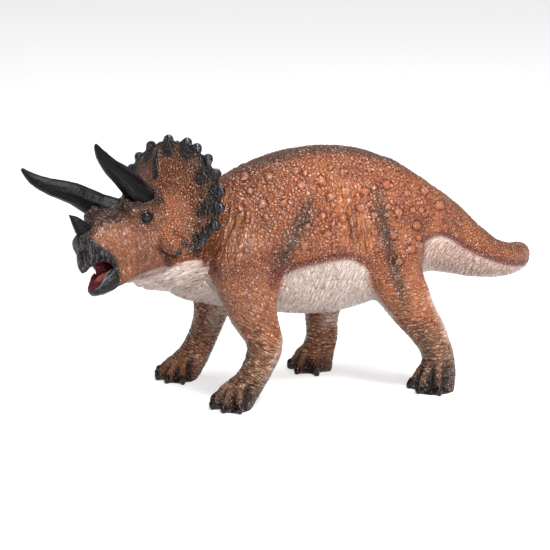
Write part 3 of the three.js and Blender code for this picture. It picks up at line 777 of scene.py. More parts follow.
# Fine wrinkles: a net of thin lines, broken up by wavering bands, that takes the scales' place where
# the skin is smooth. The big round scales have neither.
fold = add(tree, "Attribute", attribute_name="fold")
wander = add(tree, "TexNoise", {"Vector": (fold, "Vector")}, Scale=0.7, Detail=2.0)
wander = add(tree, "VectorMath", {0: (wander, "Color")}, operation="SCALE", Scale=1.7)
strayed = add(tree, "VectorMath", {0: (fold, "Vector"), 1: wander}, operation="ADD")
lines = add(tree, "TexVoronoi", {"Vector": strayed}, feature="DISTANCE_TO_EDGE", Scale=1)
lines = add(tree, "MapRange", {"Value": lines}, interpolation_type="SMOOTHSTEP", From_Max=0.14)
waves = add(tree, "TexWave", {"Vector": (fold, "Vector")},
            bands_direction="Y", Scale=0.22, Distortion=16.0)
waves = add(tree, "MapRange", {"Value": waves}, interpolation_type="SMOOTHSTEP", From_Max=0.35)
lines = add(tree, "Math", {0: lines, 1: waves}, operation="MULTIPLY")
bent = add(tree, "Attribute", attribute_name="smooth")
dome = add(tree, "Mix", {0: bent, 1: dome, 2: lines})
big = add(tree, "Attribute", attribute_name="boss")
big = add(tree, "MapRange", {"Value": big}, From_Max=0.3)
dome = add(tree, "Math", {0: dome, 1: big}, operation="MAXIMUM")

# Terracotta ground, mottled, with some scales warmer than others.
mottle = add(tree, "MapRange", {"Value": cloud}, From_Min=0.36, From_Max=0.64)
ground = add(tree, "Mix", {0: mottle}, data_type="RGBA", A=colour("#984a2a"), B=colour("#b8713c"))
warm = add(tree, "MapRange", {"Value": (luck, "Red")}, To_Max=0.3)
ground = add(tree, "Mix", {0: warm, 1: ground}, data_type="RGBA", B=colour("#bb6e3c"))

# Coats in the order they are sprayed: colour, how well it covers and how far specks break its edge.
coats = {
    "boss": ("#99502c", 0.5, 0.0),
    # painted shade over the front of the body and the head
    "dusk": ("#7d4a2e", 0.5, 0.6),
    "shank": ("#84603d", 0.8, 0.6),
    "cream": ("#e9d6cb", 1.0, 0.3),
    # dark sprayed stripes and painted shade
    "band": ("#3a2318", 0.85, 0.5),
    "rust": ("#76281b", 0.9, 0.5),
    "foot": ("#33211a", 0.88, 0.7),
    # near-black paint, with painted shade between the toes and under the cheek horn
    "soot": ("#171010", 0.96, 0.45),
}
painted = ground
for name, (code, strength, breakup) in coats.items():
    painted = coated(tree, speck, painted, colour(code), name, breakup, 0.08, 0.9, strength)

# Brown wash with painted shade, darkest in hollows, between scales and between the toes, and thin
# on the cream.
hollow = add(tree, "Attribute", attribute_name="hollow")
pebble_top = add(tree, "Attribute", attribute_name="pebble")
low = add(tree, "MapRange", {"Value": dome}, From_Max=0.42, To_Min=1.0, To_Max=0.0)
pale = add(tree, "Attribute", attribute_name="cream")
calmer = add(tree, "MapRange", {"Value": pale}, To_Min=0.95, To_Max=0.42)
low = add(tree, "Math", {0: low, 1: calmer}, operation="MULTIPLY")
lower = add(tree, "MapRange", {"Value": pebble_top}, From_Max=0.6, To_Min=0.25, To_Max=0.0)
wash_and_shade = add(tree, "Math", {0: low, 1: lower}, operation="ADD")
wash_and_shade = add(tree, "Math", {0: hollow, 1: wash_and_shade}, operation="ADD")
patchy = add(tree, "MapRange", {"Value": speck}, From_Min=0.3, From_Max=0.65, To_Min=0.45)
wash_and_shade = add(tree, "Math", {0: wash_and_shade, 1: patchy}, operation="MULTIPLY", use_clamp=True)
washed_and_shaded = add(tree, "Mix", {0: wash_and_shade, 1: painted},
             data_type="RGBA", blend_type="MULTIPLY", B=colour("#7e4326"))

# Pale dry brush and painted glints, in flecks on the tops of some scales, less on the near-black
# coat and on the big scales.
dry_brush_and_glint = add(tree, "MapRange", {"Value": speck}, From_Min=0.48, From_Max=0.66)
picked = add(tree, "MapRange", {"Value": (luck, "Green")}, To_Min=0.25)
near_black_share = add(tree, "Attribute", attribute_name="soot")
off_near_black = add(tree, "MapRange", {"Value": near_black_share}, From_Min=0.3, From_Max=0.9, To_Min=1.0, To_Max=0.1)
off_big = add(tree, "MapRange", {"Value": big}, To_Min=1.0, To_Max=0.45)
for share in (dome, picked, off_near_black, off_big):
    dry_brush_and_glint = add(tree, "Math", {0: dry_brush_and_glint, 1: share}, operation="MULTIPLY")
brushed_and_glinted = add(tree, "Mix", {0: dry_brush_and_glint, 1: washed_and_shaded}, data_type="RGBA", B=colour("#f2cdbb"))

# Black enamel with lengthwise grey streaks for the beak and knobs, and a red mouth.
grain = add(tree, "Attribute", attribute_name="grain")
fibre = add(tree, "TexNoise", {"Vector": (grain, "Vector")}, Scale=1.0, Detail=3.0, Roughness=0.6)
worn = add(tree, "MapRange", {"Value": fibre}, From_Min=0.48, From_Max=0.66, To_Max=0.75)
enamel = add(tree, "Mix", {0: worn}, data_type="RGBA", A=colour("#0d0b0d"), B=colour("#656067"))
red = add(tree, "Mix", {0: speck}, data_type="RGBA", A=colour("#3f0e11"), B=colour("#8e373b"))
brushed_and_glinted = coated(tree, speck, brushed_and_glinted, enamel, "black", 0.6, 0.2, 0.8)
brushed_and_glinted = coated(tree, speck, brushed_and_glinted, red, "mouth", 0.1, 0.2, 0.8)

# The finest relief, and a shine that is satin on the skin and wet on knobs, nails and eyes.
grit = add(tree, "TexNoise", {"Vector": (place, "Object")}, Scale=1 / grit_size, Detail=0.0)
height = add(tree, "Math", {0: grit, 1: 0.5}, operation="MULTIPLY")
arched = add(tree, "Mix", {0: bent, 1: fall})
height = add(tree, "Math", {0: height, 1: arched}, operation="SUBTRACT")
height = add(tree, "Math", {0: dome, 1: height}, operation="ADD")
gloss = add(tree, "Attribute", attribute_name="gloss")
raised = add(tree, "MapRange", {"Value": gloss}, To_Min=1.0, To_Max=0.0)
height = add(tree, "Math", {0: height, 1: raised}, operation="MULTIPLY")
relief = add(tree, "Bump", {"Height": height}, Strength=1.0, Distance=scale_relief)
dull = add(tree, "MapRange", {"Value": speck}, To_Min=0.08, To_Max=0.36)
shiny = add(tree, "MapRange", {"Value": gloss}, To_Min=1.0, To_Max=0.4)
dull = add(tree, "Math", {0: dull, 1: shiny}, operation="MULTIPLY")
black = add(tree, "Attribute", attribute_name="black")
glaze = add(tree, "MapRange", {"Value": black}, To_Min=0.5, To_Max=0.35)
glaze = add(tree, "Mix", {0: gloss, 1: glaze, 2: 0.4})
shader = add(
    tree, "BsdfPrincipled",
    {"Base Color": brushed_and_glinted, "Roughness": dull, "Normal": relief, "Specular IOR Level": glaze}, IOR=1.45)
add(tree, "OutputMaterial", {"Surface": shader})
hide.data.materials.append(hide_vinyl)
bpy.ops.object.shade_smooth()


# Pieces of the hide. The sculptor's master was sawn apart at the glue lines: behind the head, behind
# the hips, and round a disc of the flank above each leg.
def cut(piece, blade, operation):
    """Cuts a piece with a blade and keeps the largest part that is left."""
    finish_modifier(piece, "BOOLEAN", object=blade, operation=operation, solver="MANIFOLD")
    return largest_part(piece)


def carry_paint(piece):
    """Gives the points that a cut made the paint of the nearest point that was there before."""
    own = read(piece.data.attributes["own"].data, "value", 1).ravel()
    made, kept = np.flatnonzero(own < 0.999), np.flatnonzero(own >= 0.999)
    points = points_of(piece)
    tree = KDTree(len(kept))
    for index in kept:
        tree.insert(points[index], index)
    tree.balance()
    nearest = np.array([tree.find(points[index])[1] for index in made], int)
    for layer in piece.data.attributes:
        field, width = {"FLOAT": ("value", 1), "FLOAT_VECTOR": ("vector", 3)}.get(layer.data_type, ("", 0))
        if width and layer.domain == "POINT" and layer.name != "position":
            table = read(layer.data, field, width)
            table[made] = table[nearest]
            layer.data.foreach_set(field, table.ravel())
    hold(piece)
    bpy.ops.object.shade_smooth_by_angle(angle=math.radians(65))


def block(name, planes):
    """A big block that lies behind all of these planes, each a point and the direction away from it."""
    bpy.ops.object.select_all(action="DESELECT")
    bpy.ops.mesh.primitive_cube_add(size=400 * MM)
    made = bpy.context.object
    made.name = name
    bpy.ops.object.mode_set(mode="EDIT")
    for point, away in planes:
        bpy.ops.mesh.select_all(action="SELECT")
        bpy.ops.mesh.bisect(plane_co=point, plane_no=away, use_fill=True, clear_inner=True)
    bpy.ops.object.mode_set(mode="OBJECT")
    return made


# The head's own frame, then the planes of the glue lines: two behind the head and one behind the hips.
head_turn = Euler([math.radians(a) for a in (-18.8, 0.7, 28.8)]).to_matrix()
head_middle = Vector((-68.65, -3.23, 76.6)) * MM
neck_seat = head_middle + head_turn @ Vector((21.5, 0, -14.4)) * MM
neck_back = head_turn @ Vector((1, 0, 0))
frill_lean = math.radians(17)
frill_seat = head_middle + head_turn @ Vector((24.3, 0, -5.2)) * MM
frill_back = head_turn @ Vector((math.cos(frill_lean), 0, -math.sin(frill_lean)))
tail_seat = Vector((55.95, -1.03, 58)) * MM
tail_back = Vector((0.95, 0, -0.31)).normalized()

behind_neck = block("behind_neck", [(neck_seat, neck_back), (frill_seat, frill_back)])
behind_hips = block("behind_hips", [(tail_seat, tail_back)])
blade_grid = 1.2 * MM
blade_swell = 1.3 * MM
pieces = {"torso": hide}
for name in leg_nodes:
    blade = melted([name], blade_grid, blade_swell)
    pieces[name] = cut(copy_of(hide, name + "_skin"), blade, "INTERSECT")
    pieces["torso"] = cut(pieces["torso"], blade, "DIFFERENCE")
    bpy.data.objects.remove(blade)
pieces["tail"] = cut(copy_of(pieces["torso"], "tail_skin"), behind_hips, "INTERSECT")
pieces["torso"] = cut(pieces["torso"], behind_hips, "DIFFERENCE")
pieces["torso"] = cut(pieces["torso"], behind_neck, "INTERSECT")
bpy.data.objects.remove(behind_hips)
for name, piece in pieces.items():
    piece.name = name + "_skin"
    carry_paint(piece)
    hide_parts(name)
    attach(piece, "root")


# Head. One casting with the frill, its knobs, the upper beak, eyes and chin. It is held turned and
# tilted, so its sketch is folded over its own middle. Places on it are back, side and up, in mm.
head_grid = 0.82 * MM
head_swell = 0.25 * MM
nape = 7 * MM
behind_nape = block("behind_nape", [
    (neck_seat + nape * neck_back, neck_back), (frill_seat + nape * frill_back, frill_back)])
head = cut(melted(["head", "torso"], head_grid, head_swell), behind_nape, "DIFFERENCE")
bpy.data.objects.remove(behind_nape)

# The cut leaves faces with many sides, which have to be triangles before they are subdivided.
bpy.ops.object.mode_set(mode="EDIT")
bpy.ops.mesh.select_mode(type="FACE")
bpy.ops.mesh.select_all(action="DESELECT")
bpy.ops.mesh.select_face_by_sides(number=4, type="GREATER")
bpy.ops.mesh.quads_convert_to_tris()
bpy.ops.object.mode_set(mode="OBJECT")


def on_head(points):
    """Points as back, side and up from the middle between the horns' roots, in mm."""
    return (points - np.array(head_middle)) / MM @ np.array(head_turn)


def off_head(local):
    """Points on the head in mm as points of the object in metres."""
    return local @ np.array(head_turn).T * MM + np.array(head_middle)


def from_pair(local, place):
    """How far each point is from a place on the head or from its twin on the other side, in mm."""
    return np.linalg.norm(np.abs(local - place * [1, 0, 1]) - place * [0, 1, 0], axis=1)


def round_line(local, line):
    """How far along a line on the head each point is, the way out from the line to it, and how far."""
    off, reached, away, _ = nearest_on(local, line)
    return reached, away / np.maximum(off, 0.01)[:, None], off


# The frill is an oval shield that leans back: its half width and half height, how far back and how
# high its middle lies, and how far its sides bend back, in mm.
frill_half = (29.5, 27.2)
frill_middle = (17, -5.2)
frill_bend = 4.4


def on_frill(local):
    """Places on the frill as shares across and up its oval, and mm in front of its middle surface."""
    back, up = local[:, 0] - frill_middle[0], local[:, 2] - frill_middle[1]
    rise = (back * math.sin(frill_lean) + up * math.cos(frill_lean)) / frill_half[1]
    across = local[:, 1] / frill_half[0]
    front = frill_bend * across ** 2 - (back * math.cos(frill_lean) - up * math.sin(frill_lean))
    return across, rise, front


local = on_head(points_of(head))
across, rise, front = on_frill(local)
rim = np.hypot(across, rise)
knobs = fade(rim, 0.93, 0.99) * (np.abs(front) < 4) * (local[:, 0] > 8)
beak_tip = fade(-local[:, 0], 21, 25)
# Eyes and cheek horns come in pairs. Their places are back, out to each side and up.
eye_place = np.array([-2.7, 13, -7.4])
cheek_horn_place = np.array([4.5, 17, -22])
eyes = fade(-from_pair(local, eye_place), -4.5, -3)
mouth_lips = fade(-local[:, 0], 14, 18) * fade(-local[:, 2], 17, 20)
cheek_horns = fade(-from_pair(local, cheek_horn_place), -7, -4)
relax(head, 12, 1 - 0.8 * np.maximum.reduce([knobs, beak_tip, eyes, mouth_lips, cheek_horns]))
finish_modifier(head, "SUBSURF", levels=1, render_levels=1)

flesh = points_of(head)
look = normals_of(head)
local = on_head(flesh)
folded = local * [1, 0, 1] - np.abs(local * [0, 1, 0])
face = in_photo(off_head(folded))
look_local = look @ np.array(head_turn)
look_local[:, 1] *= np.where(local[:, 1] > 0, -1, 1)
seen = fade(look_local @ np.array(head_turn).T @ np.array(towards_camera), -0.1, 0.3)
across, rise, front = on_frill(local)
rim = np.hypot(across, rise)

# Forms of the face, then the folds round the mouth's corner and the throat, given as on the hide.
face_forms = {
    "snout ridge": ([(140, 207), (125, 220), (113, 223), (99, 226), (91, 223)], 5, 0.8),
    "under the ridge": ([(142, 226), (130, 226), (120, 231), (106, 233)], 4, -0.5),
    "cheek": ([(128, 238), (138, 248), (143, 260)], 9, 0.5),
    "cheek horn": ([(160, 238), (170, 241), (175, 246), (178, 251)], 5, 1.8),
    "under the cheek horn": ([(156, 246), (161, 254), (170, 259), (180, 258)], 2.3, -1.5),
    "behind the cheek horn": ([(173, 231), (183, 239), (185, 250)], 2.3, -1.2),
    "brow": ([(152, 206), (150, 199), (142, 196), (134, 199)], 2.2, 0.4),
    "before the brow": ([(131, 208), (122, 211), (112, 211)], 3.5, -0.5),
    "lower eyelid": ([(154, 212), (157, 218), (154, 226), (146, 229), (138, 226), (136, 219)], 1.6, 0.35),
    "under the eyelid": ([(158, 210), (162, 219), (157, 230), (146, 234), (137, 231)], 1.4, -0.3),
    "frill's upper swell": ([(196, 168), (205, 180), (210, 195)], 7, 0.5),
    "frill's front rib": ([(156, 148), (158, 165), (161, 180)], 3, 0.5),
    "frill's middle hollow": ([(176, 150), (178, 166), (178, 182)], 7, -0.4),
    "frill's back hollow": ([(198, 190), (192, 205), (188, 220)], 7, -0.35),
}
face_folds = [
    ([(110, 246), (115, 256), (118, 265)], 1.1, 0.35),
    ([(113, 245), (118, 257), (121, 268), (120, 280)], 1.1, -0.45),
    ([(117, 245), (122, 257), (124, 268), (123, 280)], 1.1, 0.4),
    ([(121, 246), (125, 258), (127, 269), (126, 280)], 1.1, -0.45),
    ([(125, 248), (129, 259), (131, 270), (130, 279)], 1.2, 0.35),
    ([(128, 249), (132, 260), (134, 270), (133, 278)], 1.1, -0.35),
    ([(134, 254), (137, 262), (138, 270)], 1.1, -0.25),
    ([(157, 252), (156, 261), (152, 268)], 1.2, -0.35),
    ([(149, 243), (153, 250)], 1.1, -0.35),
    ([(154, 256), (152, 263), (148, 270)], 1.2, 0.25),
    ([(134, 284), (152, 281), (167, 273), (175, 266)], 1.2, -0.4),
    ([(142, 287), (158, 284), (172, 277), (182, 268)], 1.3, 0.35),
    ([(146, 289), (162, 286), (178, 277), (190, 266)], 1.2, -0.45),
    ([(160, 291), (172, 283), (187, 271)], 1.2, 0.35),
    ([(163, 292), (175, 286), (190, 274)], 1.2, -0.45),
    ([(172, 256), (182, 258), (192, 254)], 1.4, -0.4),
    ([(176, 262), (188, 263), (198, 258)], 1.3, -0.3),
]
head_lift = strokes(face, [*face_forms.values(), *face_folds]) * seen
cheek_edge = [(92, 236), (100, 226), (132, 224), (160, 232), (168, 262), (150, 276), (124, 282),
              (112, 262), (96, 250)]
jowl_edge = [
    (122, 286), (136, 277), (154, 270), (173, 266), (194, 260), (215, 262), (225, 335), (150, 335)]
cheek = inside(face, cheek_edge, 3) * seen
throat_side = inside(face, jowl_edge, 2.5)
under = fade(-look_local[:, 2], 0.45, 0.75) * fade(-local[:, 2], 27, 31) * fade(local[:, 0], -14, -10)
throat_side = np.maximum(throat_side * fade(-local[:, 2], 14, 19), under)
head_creases = np.clip(
    0.7 * wrinkles(flesh, cheek * (1 - fade(face[:, 0], 140, 160)), (5, 1.0, 4), 11, 74, face)
    + 0.5 * wrinkles(flesh, cheek * fade(face[:, 0], 135, 155), (3.5, 1.0, 4), 12, 100, face)
    + 0.9 * wrinkles(flesh, throat_side, (5, 1.2, 4), 13, -24, face), 0, 1)
face_crease_depth = 0.28
head_lift -= face_crease_depth * head_creases

# Pebbles of the frill and cheek, the rough collar round each horn and the rim between the knobs.
face_pebble = 1.35
face_pebble_rise = 0.22
head_pebble = pebbles(flesh, face_pebble)
knob_tops = fade(rim, 0.98, 1.02) * fade(local[:, 0], 8, 12) * fade(front, -4.2, -3)
snout = fade(-local[:, 0], 2, 14) * fade(local[:, 2], -22, -16)
rough_skin = (1 - 0.8 * cheek) * (1 - 0.9 * throat_side) * (1 - 0.5 * snout) * (1 - knob_tops)
head_lift += face_pebble_rise * (head_pebble - 0.5) * rough_skin
collar_radius = 6.3
collar_rise = 0.6
root = np.abs(local - [-1, 0, 1]) - [0, 12, 0]
off_collar = np.hypot(root[:, 0] * 0.9, root[:, 1]) - collar_radius
collar = np.exp(-(off_collar / 1.1) ** 2) * (np.abs(root[:, 2]) < 7)
head_lift += collar_rise * collar * (0.6 + 0.4 * rough(flesh, 2, 21))
face_lump = 6
face_lump_rise = 0.25
head_lift += face_lump_rise * rough(flesh, face_lump, 22)
ball = fade(-from_pair(local, eye_place), -2.7, -2.0)
head_lift *= 1 - np.maximum(ball, 0.9 * fade(-local[:, 0], 19, 23) * fade(-local[:, 2], 8, 12))
eye_pixel = (146.7, 217)
eye_radius = 1.9
eye_bulge = 1.1
eye_away = np.hypot(*(face - eye_pixel).T) / photo_px_per_mm
head_lift += eye_bulge * np.sqrt(np.clip(1 - (eye_away / eye_radius) ** 2, 0, 1)) * seen
move_to(head, flesh + MM * head_lift[:, None] * look)


# Paint of the head: the hide's coats with painted shade over the head, near-black on beak, frill
# edge, knobs, horn roots and round the eyes, painted shadows under the cheek horns and along the
# frill's lower edge, and red inside the mouth.
beak_edge = [(70, 236), (86, 235), (91, 239), (95, 246), (104, 250), (112, 257), (117, 267), (118, 277),
             (114, 285), (106, 294), (90, 298), (66, 290)]
snout_edge = [(88, 226), (95, 210), (100, 197), (124, 190), (138, 200), (134, 212), (128, 222), (113, 227),
              (99, 232)]
brow_edge = [(95, 214), (124, 190), (150, 194), (168, 208), (164, 230), (140, 234), (120, 229), (99, 233)]
cheek_tip_pixel = (178.6, 252.6)
jaw_rust = [([(124, 283), (150, 276), (174, 266), (190, 257)], 2.5, 0.6, 0)]
nape_rust = [([(196, 252), (204, 258), (208, 268)], 4, 1)]
# Dark patches. Those below and under the cheek horn and on the frill's lower edge are painted shadows.
dark_patches_and_shadows = {
    "snout": ([(104, 222), (110, 218), (118, 214)], 4.55, 1.0),
    "forehead": ([(118, 206), (126, 202)], 3.9, 0.8),
    "below the cheek horn": ([(163, 259), (169, 263), (167, 268)], 4.68, 0.7),
    "frill's lower edge": ([(181, 242), (189, 246), (196, 247)], 5.2, 0.8),
    "beak root": ([(86, 236), (92, 232), (98, 236)], 5.2, 0.6),
    "mid cheek": ([(150, 232), (160, 240)], 5.2, 0.15),
    "before the eye": ([(134, 205), (140, 210), (138, 214)], 3.9, 0.6),
    "under the cheek horn": ([(157, 247), (162, 254), (171, 258), (180, 258)], 1.69, 0.9),
}

beak = inside(face, beak_edge, 1.5) * fade(-local[:, 0], 11, 15)
on_frill_side = fade(local[:, 0], 8, 12) * fade(local[:, 2], -26, -23) * fade(front, -4.2, -3)
rim_dark = fade(rim + 0.05 * rough(flesh, 4, 31), 0.93, 0.99) * on_frill_side

# Dark flames from the frill's edge: the line, its width at the edge and its width towards its tip.
flames = {
    "upper back": ([(210, 166), (204, 176), (197, 184)], 6.5, 3.2),
    "middle back": ([(219, 201), (208, 207), (196, 214)], 7, 3.4),
    "lower back": ([(218, 228), (207, 236), (192, 241)], 7.5, 4.2),
    "small back": ([(222, 184), (214, 190)], 5.5, 3.0),
    "front rib": ([(154, 146), (155, 160), (155, 180)], 3.4, 2.4),
    "top back": ([(186, 144), (187, 152)], 6.0, 4.0),
    "top": ([(168, 141), (168, 150)], 5.0, 4.0),
    "top front": ([(141, 156), (143, 166)], 3.5, 3.0),
}
soot = 0.95 * fade(rim + 0.06 * rough(flesh, 5, 32), 0.85, 0.97) * on_frill_side
for line, wide, narrow in flames.values():
    soot = np.maximum(soot, 1.5 * stroke(face, line[:2], 1.2 * wide, 0) * on_frill_side)
    soot = np.maximum(soot, 1.5 * stroke(face, line, 1.4 * narrow, 0.3) * on_frill_side)
root_away = np.hypot(root[:, 0], root[:, 1])
soot = np.maximum(soot, 0.8 * fade(-root_away, -9.5, -6.6) * fade(local[:, 2], -6, -2.5))
soot = np.maximum(soot, 0.95 * fade(-np.hypot(*(face - eye_pixel).T), -10, -5) * seen)
eye_dark = fade(-eye_away, -2.6, -2.1) * seen
nose_root_away = np.hypot(local[:, 0] + 22.4, local[:, 1])
nose_dark = fade(-nose_root_away, -6, -3.5) * fade(local[:, 2], -14, -10)
cheek_tip = fade(-np.hypot(*(face - cheek_tip_pixel).T), -4.2, -2.4) * seen
black = np.maximum.reduce([beak, rim_dark, cheek_tip])
mouth_corner = 0.9 * stroke(face, beak_edge[2:9], 4, 0) * seen
# The dark patches, painted shadows among them, go into the near-black coat and the band coat.
patches = np.maximum.reduce([strokes(face, [patch]) for patch in dark_patches_and_shadows.values()]) * seen
soot = np.maximum.reduce([soot, eye_dark, 0.9 * nose_dark, mouth_corner, 0.75 * patches])
snout_brown = inside(face, snout_edge, 5)
over_eye = inside(face, brow_edge, 6) * seen

# The mouth's middle line, back, side and up on the head in mm. What faces it is the inside.
mouth_line = [
    (-7, 0, -21.8), (-13, 0, -22), (-17.5, 0, -22.8), (-21, 0, -24.4), (-24, 0, -26.2), (-28, 0, -26.8)]
_, outward, off = round_line(folded, mouth_line)
into = -(look_local * outward).sum(1)
in_mouth = fade(into, 0.1, 0.4) * (1 - fade(off, 6, 7.5)) * (1 - fade(-local[:, 0], 21, 23))
field = fade(local[:, 0], 9, 13) * (local[:, 2] > -26) * fade(front, -4.2, -3)
near_mouth = cheek * (1 - fade(face[:, 0], 126, 142))
page_mm = face / photo_px_per_mm
keep(
    head,
    own=np.ones(len(flesh)),
    cream=throat_side * (1 - black),
    rust=strokes(face, jaw_rust) + strokes(face, nape_rust) * (local[:, 0] > 8),
    band=np.maximum.reduce([
        0.95 * snout_brown, patches, 0.4 * over_eye, 0.27 * cheek, 0.3 * snout,
        (0.2 + 0.55 * fade(rim, 0.5, 0.9)) * field]),
    soot=soot * (1 - in_mouth),
    grain=np.stack([page_mm[:, 0] / 0.8, page_mm[:, 1] / 4, local[:, 1] / 2], axis=1),
    fold=fold_field(page_mm, 0.15 * local[:, 1], [
        (np.full(len(flesh), 0.01), 40, 1.2), (cheek * (face[:, 0] < 146), 74, 1.0),
        (cheek * (face[:, 0] >= 146), 100, 1.0), (throat_side, -24, 1.1)]),
    boss=0.065 * cheek + 0.02 * snout,
    # painted shade over the head, deepest over the eyes, cheeks and snout
    dusk=(0.55 + 0.45 * np.maximum.reduce([over_eye, cheek, snout])) * (1 - throat_side),
    hollow=0.8 * head_creases,
    pebble=np.maximum.reduce([head_pebble, near_mouth, throat_side]),
    smooth=np.maximum.reduce([0.7 * near_mouth, 0.15 * cheek, 0.3 * snout, throat_side]),
    black=black * (1 - in_mouth),
    gloss=np.maximum.reduce([ball, eye_dark, knob_tops, cheek_tip]),
    mouth=in_mouth)
head.data.materials.clear()
head.data.materials.append(hide_vinyl)
head = cut(head, behind_neck, "DIFFERENCE")
head.name = "head_skin"
carry_paint(head)
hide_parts("head")
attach(head, "root")
bpy.data.objects.remove(behind_neck)


# Horns. Two long brow horns and the small nose horn are castings of their own, glued in by their
# roots. Each has fine grooves and growth lines along it under near-black satin enamel. The middle
# lines run from root to tip, with places back, side and up on the head in mm.
brow_line = [
    (3, 8.4, -2.4), (-2.2, 12, 1.2), (-10, 14.9, 7.6), (-18, 18.1, 12), (-23.5, 20.6, 16.4),
    (-26.5, 22.1, 21)]
nose_line = [(-20, 0, -12), (-22.5, 0, -7.2), (-25, 0, -3.6), (-27.8, 0, -0.6)]

# Satin enamel, brushed on lengthwise over grooved vinyl: black, with greyer streaks, a little dust and
# a blacker tip.
horn_enamel, tree = new_material("near-black satin enamel on vinyl horn")
groove_relief = 0.22 * MM
grain = add(tree, "Attribute", attribute_name="grain")
tip = add(tree, "Attribute", attribute_name="tip")
fibre = add(tree, "TexNoise", {"Vector": (grain, "Vector")}, Scale=1.0, Detail=3.0, Roughness=0.6)
broad = add(tree, "TexNoise", {"Vector": (grain, "Vector")}, Scale=0.3, Detail=2.0)
place = add(tree, "TexCoord")
speck = add(tree, "TexNoise", {"Vector": (place, "Object")},
            Scale=1 / speck_size, Detail=3.0, Roughness=0.7)
streaked = add(tree, "Math", {0: fibre, 1: broad}, operation="MULTIPLY")
worn = add(tree, "MapRange", {"Value": streaked}, From_Min=0.26, From_Max=0.42, To_Max=0.75)
body = add(tree, "Mix", {0: worn}, data_type="RGBA", A=colour("#070607"), B=colour("#363338"))
dusty = add(tree, "MapRange", {"Value": speck}, From_Min=0.6, From_Max=0.8, To_Max=0.08)
body = add(tree, "Mix", {0: dusty, 1: body}, data_type="RGBA", B=colour("#8b8a90"))
dark_tip = add(tree, "MapRange", {"Value": tip}, From_Min=0.75, From_Max=1.0, To_Max=0.85)
body = add(tree, "Mix", {0: dark_tip, 1: body}, data_type="RGBA", B=colour("#0c0b0d"))
groove = add(tree, "Math", {0: fibre, 1: speck}, operation="ADD")
relief = add(tree, "Bump", {"Height": groove}, Strength=1.0, Distance=groove_relief)
dull = add(tree, "MapRange", {"Value": speck}, To_Min=0.2, To_Max=0.4)
shader = add(tree, "BsdfPrincipled", {"Base Color": body, "Roughness": dull, "Normal": relief}, IOR=1.24)
add(tree, "OutputMaterial", {"Surface": shader})


def streaks(reached, outward, width, length):
    """The coordinates that lengthwise streaks of this width and length in mm follow."""
    rounds = 3.5 * outward / width
    rounds[:, 0] = 0.3 * rounds[:, 0] + reached / length
    return rounds


def noise_at(places):
    """Smooth noise at places of a pattern."""
    return np.array([noise.noise(place) for place in places.tolist()])


horn_grid = 0.42 * MM
horn_swell = 0.05 * MM
horn_groove = 0.24
horn_ring = 0.06
horn_lift = 0.1
tip_thinning = 0.4
horns = {
    "brow_horn_left": (brow_line, -1),
    "brow_horn_right": (brow_line, 1),
    "nose_horn": (nose_line, 1),
}
for name, (line, mirror) in horns.items():
    horn = melted([name], horn_grid, horn_swell)
    relax(horn, 10, np.full(len(horn.data.vertices), 0.8))
    finish_modifier(horn, "SUBSURF", levels=1, render_levels=1)
    flesh, look = points_of(horn), normals_of(horn)
    reached, outward, _ = round_line(on_head(flesh) * [1, mirror, 1], line)
    length = length_of(line)
    grooves = noise_at(outward * 3.2 + reached[:, None] * [0.05, 0.03, 0.04] + 5)
    rings = noise_at(np.stack([reached * 0.55, outward[:, 1] * 0.4, outward[:, 2] * 0.4], axis=1))
    bare = fade(reached, 4, 7) * (1 - fade(reached, length - 2, length))
    lift = (horn_groove * grooves + horn_ring * rings) * bare + horn_lift
    lift -= tip_thinning * fade(reached, length - 6, length)
    move_to(horn, flesh + MM * lift[:, None] * look)
    keep(horn, grain=streaks(reached, outward, 0.8, 7), tip=reached / length)
    horn.data.materials.clear()
    horn.data.materials.append(horn_enamel)
    horn.name = name + "_cast"
    bpy.ops.object.shade_smooth()
    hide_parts(name)
    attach(horn, "root")


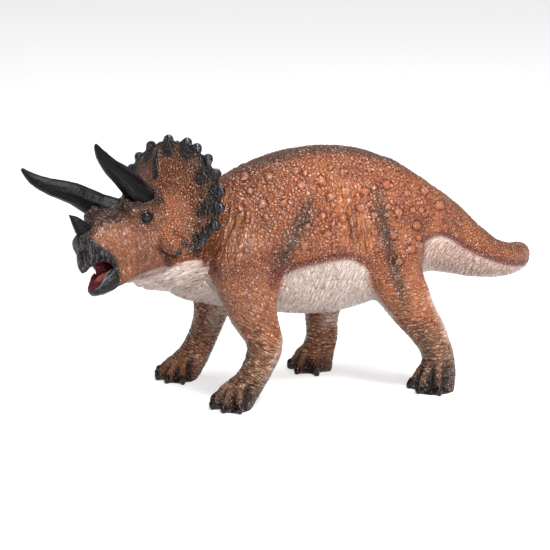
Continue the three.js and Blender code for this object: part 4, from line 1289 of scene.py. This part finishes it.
# Lower beak. A small casting with the floor of the mouth and the tongue, glued to the chin. Outside
# it is near-black with a pale lip, inside it is red with a pink, wet-looking tongue.
jaw_grid = 0.33 * MM
jaw_swell = 0.1 * MM
lip_rise = 0.3
tongue_groove = 0.5
jaw_lump = 2.5
jaw_lump_rise = 0.25
jaw = melted(["lower_jaw"], jaw_grid, jaw_swell)
relax(jaw, 5, np.full(len(jaw.data.vertices), 0.6))
finish_modifier(jaw, "SUBSURF", levels=1, render_levels=1)
flesh, look = points_of(jaw), normals_of(jaw)
local, look_local = on_head(flesh), look @ np.array(head_turn)
_, outward, _ = round_line(local, mouth_line)
into = -(look_local * outward).sum(1)
inner = fade(into, -0.15, 0.35)
lip = np.exp(-((into + 0.12) / 0.22) ** 2) * fade(-local[:, 0], 15, 17) * (look_local[:, 2] > 0)
tongue = fade(-np.abs(local[:, 1]), -3.0, -1.6) * inner * (1 - fade(-local[:, 0], 20.5, 22.5))
lift = jaw_lump_rise * rough(flesh, jaw_lump, 41) + lip_rise * lip
lift -= tongue_groove * tongue * np.exp(-(local[:, 1] / 0.5) ** 2)
move_to(jaw, flesh + MM * lift[:, None] * look)
jaw_line = [(-14, 0, -29), (-26, 0, -30)]
reached, outward, _ = round_line(local, jaw_line)
keep(jaw, grain=streaks(reached, outward, 0.8, 3), inner=inner, lip=lip, tongue=tongue)

# Brushed black enamel, then the mouth's dark red, the tongue's pink and the lip's grey by hand.
jaw_relief = 0.2 * MM
jaw_paint, tree = new_material("black beak enamel with a red mouth")
grain = add(tree, "Attribute", attribute_name="grain")
fibre = add(tree, "TexNoise", {"Vector": (grain, "Vector")}, Scale=1.0, Detail=3.0, Roughness=0.6)
place = add(tree, "TexCoord")
speck = add(tree, "TexNoise", {"Vector": (place, "Object")},
            Scale=1 / grit_size, Detail=3.0, Roughness=0.7)
worn = add(tree, "MapRange", {"Value": fibre}, From_Min=0.5, From_Max=0.72, To_Max=0.6)
coat = add(tree, "Mix", {0: worn}, data_type="RGBA", A=colour("#100f11"), B=colour("#514f54"))
for name, code in (("inner", "#571519"), ("tongue", "#9c4a48"), ("lip", "#5f5c60")):
    coat = coated(tree, speck, coat, colour(code), name, 0.5, 0.35, 0.85)
relief = add(tree, "Bump", {"Height": speck}, Strength=0.8, Distance=jaw_relief)
dull = add(tree, "MapRange", {"Value": speck}, To_Min=0.15, To_Max=0.4)
shader = add(tree, "BsdfPrincipled", {"Base Color": coat, "Roughness": dull, "Normal": relief}, IOR=1.33)
add(tree, "OutputMaterial", {"Surface": shader})
jaw.data.materials.clear()
jaw.data.materials.append(jaw_paint)
jaw.name = "lower_beak_cast"
bpy.ops.object.shade_smooth()
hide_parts("lower_jaw")
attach(jaw, "root")
